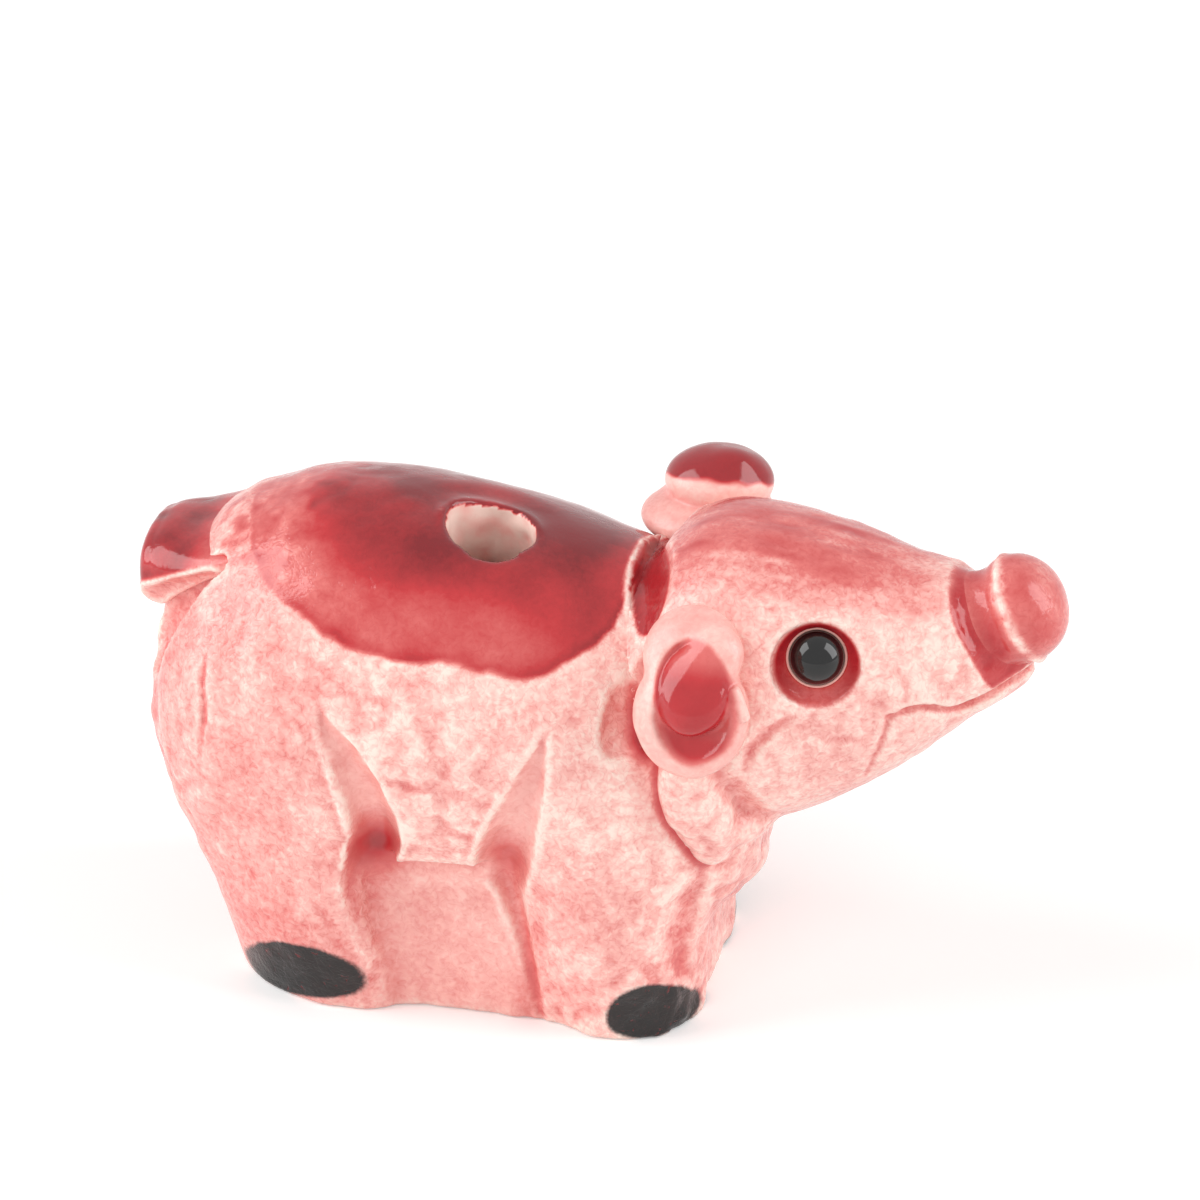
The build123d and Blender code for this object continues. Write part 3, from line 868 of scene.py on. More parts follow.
def eye_place(side):
    """Middle of a socket's rim, and its axes."""
    axes = axes_from(mirrored(EYE_OUT, side), np.array((0.0, 0.0, 1.0)))
    return mirrored(EYE_MIDDLE, side), axes


def jowl(block, side):
    """Distance from the tongue of clay that laps from a cheek on to the chest."""
    top, foot = (mirrored(end, side) for end in JOWL_ENDS)
    axes = axes_from(mirrored(JOWL_OUT, side), foot - top)
    return egg(block, (top + foot) / 2, JOWL_HALF, axes) + 0.4 * clay_relief(block, 2.8, 17)


def head_field(block, sizes):
    """The head with its jowls, sockets, mouth and cove, before it is cut to the body."""
    head = loft(block, HEAD, HEAD_SQUARENESS, 1.0)
    for side in SIDES.values():
        head = join(head, jowl(block, side), 0.8)
        lump(block, head, mirrored(THROAT_MIDDLE, side), THROAT_HALF, np.eye(3), 1.2)
    head = cut(head, cove(block), 0.2)
    for side_name, side in SIDES.items():
        for line in (JAW_FOLD, CHEEK_CREASE, JOWL_VALLEY):
            carve(block, head, line, 1, flank(side), ease=2)
        scoop_behind_ear(block, head, side_name)
    carve(block, head, MOUTH, 1, lambda part: np.float32(1))
    carve(block, head, NECK_GROOVE, 2, nape, 0.15)
    head += hand_marks(block, sizes)
    for side in SIDES.values():
        rim, axes = eye_place(side)
        bowl = rim + SOCKET_RISE * axes[2] - SOCKET_DROP * axes[1]
        bowl_half = (SOCKET_RADIUS, SOCKET_RADIUS, SOCKET_HOLLOW)
        lump(block, head, bowl, bowl_half, axes, 0.15, cutting=True)
        bead = rim - EYE_DEPTH * axes[2]
        lump(block, head, bead, (BEAD_RADIUS + BEAD_GAP,) * 3, axes, 0.1, cutting=True)
    return head


def snout_field(block, sizes):
    """The snout's button and the slope behind it."""
    across, up, out = local(block, SNOUT_MIDDLE, snout_axes())
    radius = np.hypot(across, up)
    dome = egg(block, SNOUT_MIDDLE, (SNOUT_RADIUS, SNOUT_RADIUS, SNOUT_DOME), snout_axes())
    dome = cut(dome, out + 0.25, 0.2)
    stem = cut(radius - SNOUT_RADIUS + 0.1, out + 4.0, 0.2)
    stem = cut(stem, 0.1 - out, 0.2)
    form = cut(join(dome, stem, 0.15), cove(block), 0.2)
    crumbs = np.clip(0.3 + 1.2 * clay_relief(block, 0.8, 18), 0, 1.5)
    form -= 0.2 * crumbs * bell(out, -0.1, 0.3) * ramp(radius, 2.5, 3.4)
    return form + (0.5 + 0.5 * ramp(out, 0.0, -0.5)) * hand_marks(block, sizes)


def tail_field(block, sizes):
    """The tail's blunt stub."""
    tail = loft(block, TAIL, 2.6, 2.4)
    for side in SIDES.values():
        trench(block, tail, TAIL_HOLLOW, side, 0.15)
    return tail + 0.8 * hand_marks(block, sizes)


def ear_axes(side):
    """Forwards, down and outwards on an ear."""
    out = np.array((0.0, side * math.cos(EAR_DROOP), math.sin(EAR_DROOP)))
    down = np.array((0.0, side * math.sin(EAR_DROOP), -math.cos(EAR_DROOP)))
    return np.array((np.array((1.0, 0.0, 0.0)), down, out))


def plug(block):
    """Distance from the upright plug of clay that ends the left ear above the head."""
    x, y, z = local(block, PLUG_MIDDLE, np.eye(3))
    half_x, half_y = PLUG_BAND
    band = (np.hypot(x / half_x, y / half_y) - 1) * ((half_x + half_y) / 2)
    band = cut(cut(band, -z, 0.3), z + PLUG_HEIGHT, 0.3)
    capped = join(band, egg(block, PLUG_MIDDLE, PLUG_CAP, np.eye(3)), 0.2)
    offset, half = PLUG_FOOT
    return join(capped, egg(block, PLUG_MIDDLE + offset, half, np.eye(3)), 0.4)


def ear_field(block, side_name, sizes):
    """An ear: a drooping cup under an arched hood, with a round pad of clay in the cup."""
    middle, axes = EAR_MIDDLES[side_name], ear_axes(SIDES[side_name])
    c, s = math.cos(HOOD_TIP), math.sin(HOOD_TIP)
    tipped = np.array((axes[0], c * axes[1] - s * axes[2], s * axes[1] + c * axes[2]))

    def place(spot):
        return middle + np.array(spot) @ axes

    def placed(part):
        spot, half = part
        return place(spot), half

    form = egg(block, *placed(EAR_LOBE), axes)
    if side_name == "right":
        form = join(form, egg(block, *placed(EAR_HOOD), tipped), 0.5)
        lump(block, form, *placed(HOOD_HOLLOW), tipped, 0.2, cutting=True)
    else:
        form = join(form, plug(block), 0.6)
    lump(block, form, *placed(EAR_CUP), axes, 0.3, cutting=True)
    lump(block, form, *placed(EAR_PAD), tipped, 0.35)
    lump(block, form, *placed(EAR_SWELL), tipped, 0.8)
    start, end, radius = EAR_RIM
    form = join(form, strand(block, place(start), place(end), radius), 0.3)
    return form + 0.6 * hand_marks(block, sizes)


def mesh_piece(name, points, faces):
    """A smooth mesh object in metres from points in millimetres."""
    mesh = bpy.data.meshes.new(name)
    mesh.from_pydata(points * MM, [], faces.tolist())
    mesh.validate()
    mesh.shade_smooth()
    piece = bpy.data.objects.new(name, mesh)
    bpy.context.scene.collection.objects.link(piece)
    return piece


def mesh_points(piece):
    """A piece's points in millimetres."""
    flat = np.zeros(len(piece.data.vertices) * 3, dtype=np.float32)
    piece.data.vertices.foreach_get("co", flat)
    return flat.reshape(-1, 3).astype(float) / MM


def dress(piece, node, material):
    """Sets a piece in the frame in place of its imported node."""
    piece.data.materials.append(material)
    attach(piece, "root")
    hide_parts(node)


def hollows(field, block, points, reach):
    """How far each point lies in a hollow, above 0, or on a ridge, below 0, in millimetres."""
    steps = max(1, int(round(reach / block.step)))
    return -sample(soften(field, steps), block, points)


def glaze(piece, field, block, thick, calm=0.0, hoof=-1.0):
    """Writes how thick the glaze is: as brushed on, more in hollows, less on edges, even on calm clay."""
    points = mesh_points(piece)
    fine = hollows(field, block, points, 0.5) * (1 - calm)
    broad = hollows(field, block, points, 1.3) * (1 - calm)
    pooled = np.clip(fine * 3.2, -0.1, 0.24) + np.clip(broad * 0.25, -0.06, 0.1)
    broken = np.clip(0.35 + 1.9 * dapple(points, 0.45, 27), 0, 1.3)
    edges = np.clip((-fine * 6.5 - 0.5) * broken, 0, 0.9)
    thick = thick * (1 - 0.7 * edges)
    thick = np.clip(thick + pooled * (1 - 0.9 * np.clip(thick, 0, 1)), 0, 1.2)
    for name, values in (("glaze", thick), ("ridge", edges), ("calm", calm), ("hoof", hoof)):
        layer = piece.data.attributes.new(name, "FLOAT", "POINT")
        layer.data.foreach_set("value", np.full(len(points), values, dtype=np.float32))


def off_line(points, line, seen=(0, 1)):
    """Distance of points, as seen, from the edge of a drawn line; below 0 inside it."""
    rows = smooth_line(line)
    gap = np.full(len(points), FAR)
    for a, b in zip(rows, rows[1:]):
        run, away = b[:2] - a[:2], points[:, seen] - a[:2]
        t = np.clip(away @ run / (run @ run), 0, 1)
        far = np.linalg.norm(away - t[:, None] * run, axis=1)
        gap = np.minimum(gap, far - a[2] - (b[2] - a[2]) * t)
    return gap


def nape_pool(points):
    """Red glaze that filled the groove over the neck."""
    return 0.82 * ramp(off_line(points, NECK_GROOVE), 0.0, -0.35) * ramp(points[:, 2], 30.0, 31.5)


def saddle(points):
    """Thickness of the red glaze brushed over the back, with a bead along its lower edge."""
    x, y, z = points.T
    edges = np.array(SADDLE_EDGE)
    edge = curve(edges[:, 0], edges[:, 1], x - np.where(y > 0, 0.8, 0.0))
    inside = z - edge + 0.35 * dapple(points, 2.4, 21) + 0.2 * dapple(points, 0.9, 22)
    worn = ramp(x, -16.0, -25.0) * (0.1 + 0.2 * dapple(points, 0.9, 23))
    thick = 0.66 + 0.3 * ramp(z - edge, 2.5, 6.5) + 0.16 * ramp(x, -6.0, 2.0)
    bead = 0.1 * bell(inside, 0.4, 0.4)
    red = ramp(inside, -0.3, 0.3) * (thick + bead + 0.1 * dapple(points, 3.0, 24) - worn)
    streaky = 0.42 + 0.3 * dapple(points, 0.9, 25)
    rump = ramp(x, -30.0, -27.0) * ramp(z, 33.4, 35.0) * ramp(x, -20.0, -24.0)
    return np.maximum(red, streaky * rump)


def nodes_of(owner):
    """The emptied node tree of a material or a world."""
    owner.use_nodes = True
    owner.node_tree.nodes.clear()
    return owner.node_tree


def add(tree, kind, settings=None, **links):
    """Adds a node, sets it up, and links or sets its inputs."""
    made = tree.nodes.new(kind)
    for key, value in (settings or {}).items():
        setattr(made, key, value)
    for key, value in links.items():
        # i0, i1 and so on are inputs by number, where several share a name
        socket = made.inputs[int(key[1:]) if key[1:].isdigit() else key]
        if isinstance(value, bpy.types.NodeSocket):
            tree.links.new(value, socket)
        else:
            socket.default_value = value
    return made


def glazed_earthenware():
    """Earthenware under brushed red glaze: cream where it is thin, deep red and glossy where it pooled."""
    material = bpy.data.materials.get("glazed earthenware")
    if material:
        return material
    colours = bpy.context.scene.clay_pig_colours
    material = bpy.data.materials.new("glazed earthenware")
    tree = nodes_of(material)
    place = add(tree, "ShaderNodeTexCoord").outputs["Object"]
    thick, ridge, hoof, calm = (
        add(tree, "ShaderNodeAttribute", {"attribute_name": name}).outputs["Fac"]
        for name in ("glaze", "ridge", "hoof", "calm")
    )
    # Blotches 2.4 mm across, crawled glaze of 0.5 mm, veins between 0.8 mm cells, and grit of 0.26 mm,
    # which is coarser than the real one so that it shows
    blotch, crawl, vein, grit = (
        add(
            tree, "ShaderNodeTexNoise", Vector=place,
            Scale=scale, Detail=detail, Roughness=roughness, Distortion=distortion,
        ).outputs["Fac"]
        for scale, detail, roughness, distortion in (
            (420.0, 3.0, 0.6, 0.0), (1900.0, 1.5, 0.5, 0.6), (1250.0, 1.5, 0.5, 1.0), (3800.0, 2.0, 0.5, 0.0)
        )
    )
    # Thin glaze is uneven, thick glaze and calm clay hardly are
    thin = add(tree, "ShaderNodeMapRange", SMOOTH, i0=thick, i1=0.75, i2=0.3, i3=0.2, i4=1.0)
    rest = add(tree, "ShaderNodeMath", {"operation": "MULTIPLY_ADD"}, i0=calm, i1=-0.8, i2=1.0)
    thin = add(tree, "ShaderNodeMath", {"operation": "MULTIPLY"}, i0=thin.outputs[0], i1=rest.outputs[0])
    spread = add(tree, "ShaderNodeMath", {"operation": "MULTIPLY_ADD"}, i0=blotch, i1=0.22, i2=-0.11)
    flecks = add(tree, "ShaderNodeMath", {"operation": "MULTIPLY_ADD"}, i0=crawl, i1=0.46, i2=-0.23)
    off = add(tree, "ShaderNodeMath", {"operation": "SUBTRACT"}, i0=vein, i1=0.5)
    wide = add(tree, "ShaderNodeMath", {"operation": "ABSOLUTE"}, i0=off.outputs[0])
    lines = add(tree, "ShaderNodeMapRange", SMOOTH, i0=wide.outputs[0], i1=0.06, i2=0.0, i3=0.0, i4=0.07)
    mottle = add(tree, "ShaderNodeMath", {"operation": "ADD"}, i0=spread.outputs[0], i1=flecks.outputs[0])
    mottle = add(tree, "ShaderNodeMath", {"operation": "ADD"}, i0=mottle.outputs[0], i1=lines.outputs[0])
    uneven = add(tree, "ShaderNodeMath", {"operation": "MULTIPLY"}, i0=mottle.outputs[0], i1=thin.outputs[0])
    depth = add(tree, "ShaderNodeMath", {"operation": "ADD"}, i0=thick, i1=uneven.outputs[0]).outputs[0]
    tint = add(tree, "ShaderNodeValToRGB", Fac=depth)
    stops = tint.color_ramp.elements
    stops[0].color, stops[1].color = (*colours.cream, 1.0), (*colours.deep, 1.0)
    for level, colour in ((0.22, colours.pink), (0.5, colours.salmon), (0.78, colours.red)):
        stops.new(level).color = (*colour, 1.0)
    worn = add(tree, "ShaderNodeMix", COLOUR, i0=ridge, i6=tint.outputs[0], i7=(*colours.cream, 1.0))
    # Black oxide on the hooves, brushed on with a grainy edge and flecked with the glaze
    brush = add(tree, "ShaderNodeMath", {"operation": "MULTIPLY_ADD"}, i0=grit, i1=0.2, i2=hoof)
    painted = add(tree, "ShaderNodeMapRange", SMOOTH, i0=brush.outputs[0], i1=0.0, i2=0.35, i3=0.0, i4=1.0)
    speck = add(tree, "ShaderNodeMapRange", SMOOTH, i0=crawl, i1=0.62, i2=0.75, i3=0.0, i4=0.5)
    oxide = add(
        tree, "ShaderNodeMix", COLOUR,
        i0=speck.outputs[0], i6=(*colours.hoof, 1.0), i7=(*colours.deep, 1.0),
    )
    colour = add(
        tree, "ShaderNodeMix", COLOUR, i0=painted.outputs[0], i6=worn.outputs[2], i7=oxide.outputs[2]
    )
    rough = add(tree, "ShaderNodeMapRange", SMOOTH, i0=depth, i1=0.3, i2=0.7, i3=0.27, i4=0.09)
    rough = add(
        tree, "ShaderNodeMix", {"data_type": "FLOAT"}, i0=painted.outputs[0], i2=rough.outputs[0], i3=0.24
    )
    # Glaze is thin on the raised grains, so the relief is the glaze's thickness turned over
    height = add(tree, "ShaderNodeMath", {"operation": "MULTIPLY"}, i0=uneven.outputs[0], i1=-2.0)
    bump = add(tree, "ShaderNodeBump", Strength=0.7, Distance=0.12 * MM, Height=height.outputs[0])
    shader = add(
        tree, "ShaderNodeBsdfPrincipled",
        **{
            "Base Color": colour.outputs[2], "Roughness": rough.outputs[0],
            "Normal": bump.outputs[0], "IOR": 1.5,
        },
    )
    add(tree, "ShaderNodeOutputMaterial", Surface=shader.outputs[0])
    return material


def black_glass():
    """Pressed glass bead, polished: black, with clear reflections."""
    colours = bpy.context.scene.clay_pig_colours
    material = bpy.data.materials.new("black glass")
    tree = nodes_of(material)
    place = add(tree, "ShaderNodeTexCoord").outputs["Object"]
    # Handling haze in patches of about 1.1 mm
    haze = add(tree, "ShaderNodeTexNoise", Vector=place, Scale=900.0, Detail=2.0)
    rough = add(tree, "ShaderNodeMapRange", i0=haze.outputs["Fac"], i1=0.3, i2=0.7, i3=0.03, i4=0.07)
    shader = add(
        tree, "ShaderNodeBsdfPrincipled",
        **{"Base Color": (*colours.bead, 1.0), "Roughness": rough.outputs[0], "IOR": 1.52},
    )
    add(tree, "ShaderNodeOutputMaterial", Surface=shader.outputs[0])
    return material


def cement():
    """Bedding cement pressed up round the bead: pale, matte and slightly gritty."""
    colours = bpy.context.scene.clay_pig_colours
    material = bpy.data.materials.new("bedding cement")
    tree = nodes_of(material)
    place = add(tree, "ShaderNodeTexCoord").outputs["Object"]
    # Grit of 0.4 mm, coarser than the real one so that it shows
    grit = add(tree, "ShaderNodeTexNoise", Vector=place, Scale=2500.0, Detail=3.0)
    tint = add(
        tree, "ShaderNodeMix", COLOUR, i0=grit.outputs["Fac"],
        i6=(*colours.cement, 1.0), i7=(*colours.pink, 1.0),
    )
    bump = add(tree, "ShaderNodeBump", Strength=0.3, Distance=0.05 * MM, Height=grit.outputs["Fac"])
    shader = add(
        tree, "ShaderNodeBsdfPrincipled",
        **{"Base Color": tint.outputs[2], "Roughness": 0.6, "Normal": bump.outputs[0]},
    )
    add(tree, "ShaderNodeOutputMaterial", Surface=shader.outputs[0])
    return material


def coarsen(piece, hidden, share):
    """Keeps only a share of the faces inside the hollow, where nothing is seen."""
    group = piece.vertex_groups.new(name="hidden")
    group.add(np.flatnonzero(hidden).tolist(), 1.0, "ADD")
    thin = piece.modifiers.new("coarsen", "DECIMATE")
    thin.vertex_group = group.name
    thin.ratio = 1 - (1 - share) * float(np.mean(hidden))
    bpy.context.view_layer.update()
    made = bpy.data.meshes.new_from_object(piece.evaluated_get(bpy.context.evaluated_depsgraph_get()))
    piece.modifiers.clear()
    piece.vertex_groups.clear()
    piece.data = made


def halve(piece, height, keep_above):
    """Cuts a closed mesh at a level and closes the cut with a flat rim."""
    bm = bmesh.new()
    bm.from_mesh(piece.data)
    made = bmesh.ops.bisect_plane(
        bm, geom=bm.verts[:] + bm.edges[:] + bm.faces[:],
        plane_co=(0, 0, height), plane_no=(0, 0, 1),
        clear_inner=keep_above, clear_outer=not keep_above, dist=1e-7,
    )
    rim = [e for e in made["geom_cut"] if isinstance(e, bmesh.types.BMEdge)]
    flat = bmesh.ops.triangle_fill(bm, edges=rim, normal=(0, 0, -1 if keep_above else 1))
    for edge in rim:
        edge.smooth = False
    for face in flat["geom"]:
        if isinstance(face, bmesh.types.BMFace):
            face.smooth = False
            if (face.normal.z > 0) == keep_above:
                face.normal_flip()
    bm.to_mesh(piece.data)
    bm.free()


class CLAYPIG_OT_body(bpy.types.Operator):
    """Sculpts the hollow body and parts it at its seam"""

    bl_idname = "claypig.body"
    bl_label = "Body shells"

    def execute(self, context):
        sizes = context.scene.clay_pig_sizes
        block = Block.spanning(*BODY_SPAN, mm(sizes.body_step))
        outer, form = self.sculpted(block, sizes)
        points, faces = skin(form, block)
        joint = Block.spanning(*NECK_SPAN, NECK_STEP)
        head = head_field(joint, sizes)
        for name, above, slot in (
            ("back_shell", True, "red_glazed_clay"),
            ("belly_shell", False, "pink_glazed_clay"),
        ):
            piece = mesh_piece(name.replace("shell", "clay"), points, faces)
            halve(piece, sizes.seam_height, above)
            coarsen(piece, sample(outer, block, mesh_points(piece)) < -1.5, 0.12)
            spots = mesh_points(piece)
            even = self.even(spots)
            near_head = ramp(sample(head, joint, spots), 0.9, 0.1)
            seam = near_head * ramp(spots[:, 0], 3.5, 5.0) * ramp(spots[:, 2], 31.0, 28.0)
            brushed = np.maximum(self.brushed(spots, even), 0.7 * seam)
            bare = sample(outer, block, spots) < -0.3
            hole = 0.07 + 0.16 * dapple(spots, 0.9, 32)
            thick, calm = np.where(bare, hole, brushed), np.where(bare, 1.0, even)
            glaze(piece, outer, block, thick, calm, self.hooves(spots))
            dress(piece, name, glazed_earthenware())
        return {"FINISHED"}

    def sculpted(self, block, sizes):
        """The body's outside, and its clay with the hollow and the hole taken out."""
        barrel, mass = barrel_and_mass(block)
        outer = carve_body(block, mass, sizes)
        hole_axes = axes_from(HOLE_AXIS, np.array((1.0, 0.0, 0.0)))
        across, along, up = local(block, HOLE_FOOT, hole_axes)
        away = np.hypot(across, along)
        near = ramp(block.z, 24.0, 28.0)
        # The punch left a ragged rim, and pushed the clay up on one side of the hole
        ragged = np.clip(0.3 + clay_relief(block, 1.2, 13), 0, 1.5)
        outer -= near * 0.2 * bell(away, 3.55, 0.4) * ragged
        pushed = bell(away, 4.2, 1.5) * np.clip(across / 4.0, -1, 1)
        outer -= near * 0.35 * pushed
        hollow = barrel + np.float32(mm(sizes.wall)) + 1.8 * near * ramp(away, 8.0, 4.5)
        bore = away - HOLE_RADIUS + 0.35 * clay_relief(block, 2.2, 12) + 0.2 * clay_relief(block, 0.9, 14)
        return outer, cut(cut(outer, hollow, 0.5), cut(bore, up, 0.5), 0.35)

    def brushed(self, points, even):
        """Glaze as it was brushed on: thin on the flanks, red on the back and in the groove over the neck,
        with painted shade that deepens the flanks towards the rear and the bottom.
        """
        # The terms in X and Z thicken the flanks' glaze towards the rear and the bottom: this is painted
        # shade, not glaze
        flat = 0.15 + 0.13 * ramp(points[:, 0], -12.0, -24.0) + 0.1 * ramp(points[:, 2], 18.0, 8.0)
        flat = flat + 0.08 * dapple(points, 5.0, 31) + 0.05 * dapple(points, 2.2, 28)
        # Smoothed clay gets a thinner, paler glaze; between the legs that paleness is a painted highlight
        thin = flat * (1 - 0.8 * even) + 0.15 * even + self.pools(points)
        lip = bell(off_line(points, NECK_GROOVE), 0.25, 0.2) * ramp(points[:, 2], 30.5, 32.0)
        return np.maximum(np.maximum(thin, saddle(points) * (1 - 0.85 * lip)), nape_pool(points))

    def even(self, points):
        """Where the tool or a wet finger left the clay smooth: in the carved lines and between the legs.
        Between the legs it also stands for a painted highlight, as the glaze there is made paler.
        """
        x, y, z = points.T
        lines = np.minimum(off_line(points, HIND_GROOVE, (0, 2)), off_line(points, FORE_GROOVE, (0, 2)))
        cut_in = 0.7 * ramp(lines, 0.0, -0.5) * ramp(z, 11.0, 13.0)
        # Between the legs: smooth clay, and a painted highlight where the glaze is made paler
        legs = 0.45 * ramp(x, -16.0, -14.0) * ramp(x, -1.6, -3.4)
        legs = legs * ramp(z, 13.6, 12.6) * ramp(np.abs(y), 11.6, 11.0)
        return np.maximum(cut_in * ramp(np.abs(y), 3.0, 6.0), legs)

    def pools(self, points):
        """Extra glaze that ran together at the foot of the carved lines and behind the ears, a little round
        the tail, and a deeper red low along the rear edge of each fore leg.
        """
        x, y, z = points.T
        # Deeper red low along the rear edge of each fore leg
        web = 0.2 * bell(x - 0.12 * z, -3.2, 1.0) * ramp(z, 11.0, 8.0)
        feet = sum(
            amount * bell(x, place, long) * bell(z, level, high)
            for place, level, long, high, amount in LINE_POOLS
        )
        total = ramp(np.abs(y), 6.0, 8.0) * (feet + web)
        for side_name, middle in EAR_MIDDLES.items():
            leaf = (points - middle - (-3.7, SIDES[side_name] * -0.5, -2.6)) / (3.1, 3.2, 4.9)
            total = np.maximum(total, 0.78 * ramp(np.linalg.norm(leaf, axis=1), 1.0, 0.6))
        tail = np.linalg.norm((np.abs(points) - (30.0, 7.0, 30.2)) / (3.6, 2.6, 3.8), axis=1)
        return np.maximum(total, 0.12 * ramp(tail, 1.0, 0.6) * (x < 0))

    def hooves(self, points):
        """Distance inside the black patches on the feet, as they show from the side."""
        x, y, z = points.T
        low = z + 0.5 * (11.8 - np.abs(y))
        hind, fore = (
            1 - np.hypot((x - place) / long, (low - level - slope * (x - place)) / high)
            for place, level, long, high, slope in HOOVES
        )
        shape = np.maximum(hind, fore) * 2.4 + 0.12 * dapple(points, 1.4, 41)
        return np.where(np.abs(y) > 3.0, shape, -1.0)


class CLAYPIG_OT_head(bpy.types.Operator):
    """Sculpts the head and cuts it to the body"""

    bl_idname = "claypig.head"
    bl_label = "Head"

    def execute(self, context):
        sizes = context.scene.clay_pig_sizes
        block = Block.spanning(*HEAD_SPAN, mm(sizes.head_step))
        head = head_field(block, sizes)
        body = carve_body(block, barrel_and_mass(block)[1], sizes)
        form = cut(head, body + np.float32(HEAD_BED), JOINT_EASE)
        piece = mesh_piece("head_clay", *skin(form, block))
        spots = mesh_points(piece)
        x, y, z = spots.T
        stations, _, tops, _ = np.array(HEAD).T
        crown = ramp(curve(stations, tops, x) - z, 2.9, 0.2) * ramp(x, 28.0, 23.0) * ramp(x, 4.0, 8.0)
        # Brush strokes along the crown
        streaks = dapple(spots * (0.2, 1.0, 1.0), 0.7, 26)
        streaks = streaks + 0.6 * dapple(spots * (0.3, 1.0, 1.0), 1.6, 29)
        thick = 0.21 + 0.08 * dapple(spots, 5.0, 31) + crown * (0.34 + 0.16 * streaks)
        thick = np.maximum(thick - 0.06 * ramp(x, 19.0, 24.0), nape_pool(spots))
        for side in SIDES.values():
            rim, axes = eye_place(side)
            away = spots - (rim - 0.4 * axes[2] - SOCKET_DROP * axes[1])
            # The socket's glaze is deeper red towards its top: partly glaze pooled under the rim, partly
            # painted shade
            bowl = 0.76 + 0.16 * np.clip(away @ axes[1] / 2.5, -1, 1)
            thick = np.maximum(thick, bowl * ramp(np.linalg.norm(away, axis=1), 3.35, 2.9))
        across, up, out = ((spots - SNOUT_MIDDLE) @ snout_axes().T).T
        ring = np.hypot(np.hypot(across, up) - COVE_RING, out + COVE_BACK)
        upper = ramp(z - mouth_height(x), 0.2, 0.7)
        thick = np.maximum(thick, 0.76 * upper * ramp(ring, COVE_RADIUS + 0.15, COVE_RADIUS - 0.1))
        glaze(piece, head, block, thick)
        dress(piece, "head", glazed_earthenware())
        return {"FINISHED"}


class CLAYPIG_OT_snout(bpy.types.Operator):
    """Sculpts the snout's button"""

    bl_idname = "claypig.snout"
    bl_label = "Snout"

    def execute(self, context):
        sizes = context.scene.clay_pig_sizes
        span = (SNOUT_MIDDLE - SNOUT_REACH, SNOUT_MIDDLE + SNOUT_REACH)
        block = Block.spanning(*span, mm(sizes.fine_step))
        snout = snout_field(block, sizes)
        form = cut(snout, head_field(block, sizes) + np.float32(LUMP_BED), JOINT_EASE)
        piece = mesh_piece("snout_clay", *skin(form, block))
        spots = mesh_points(piece)
        out = (spots - SNOUT_MIDDLE) @ snout_axes()[2]
        rim = bell(out, -0.1, 0.45) * (0.8 + 0.5 * dapple(spots, 0.8, 34))
        radius = np.linalg.norm(spots - SNOUT_MIDDLE - np.outer(out, snout_axes()[2]), axis=1)
        thick = 0.52 + 0.12 * dapple(spots, 2.0, 33) + 0.12 * ramp(radius, 2.0, 3.6) - 0.45 * rim
        glaze(piece, snout, block, thick)
        dress(piece, "snout", glazed_earthenware())
        return {"FINISHED"}


class CLAYPIG_OT_ears(bpy.types.Operator):
    """Sculpts both ears"""

    bl_idname = "claypig.ears"
    bl_label = "Ears"

    def execute(self, context):
        sizes = context.scene.clay_pig_sizes
        for side_name, side in SIDES.items():
            middle, axes = EAR_MIDDLES[side_name], ear_axes(side)
            block = Block.spanning(middle - EAR_REACH, middle + EAR_REACH, mm(sizes.fine_step))
            ear = ear_field(block, side_name, sizes)
            under = np.minimum(head_field(block, sizes), barrel_and_mass(block)[1])
            form = cut(ear, under + np.float32(LUMP_BED), JOINT_EASE)
            piece = mesh_piece(f"{side_name}_ear_clay", *skin(form, block))
            spots = mesh_points(piece)
            forward, down, out = ((spots - middle) @ axes.T).T
            cup = np.hypot((forward - 0.05) / 3.3, (down - 0.9) / 4.4) + 0.04 * dapple(spots, 1.5, 36)
            pad = np.hypot((forward + 0.4) / 2.9, (down + 0.7) / 3.9)
            trough = (0.46 + 0.2 * ramp(down, 1.5, 4.0)) * ramp(cup, 1.02, 0.75)
            red = np.maximum(trough, (0.7 - 0.25 * ramp(down, -1.0, -3.6)) * ramp(pad, 1.05, 0.85))
            thick = 0.24 + 0.05 * dapple(spots, 2.2, 28) + ramp(out, -0.6, 0.2) * np.maximum(red - 0.1, 0)
            if side_name == "left":
                # The plug was dipped in red, and the band below it is thinly glazed
                level = spots[:, 2] + 0.41 * (spots[:, 1] - 8.3) + 0.3 * dapple(spots, 1.2, 37)
                capped = ramp(level, 36.9, 37.4)
                below = ramp(spots[:, 2], 36.0, 34.5)
                thick = thick * below + 0.17 * ramp(spots[:, 2], 34.5, 36.0) + 0.75 * capped
            glaze(piece, ear, block, thick, 0.75)
            dress(piece, f"{side_name}_ear", glazed_earthenware())
        return {"FINISHED"}


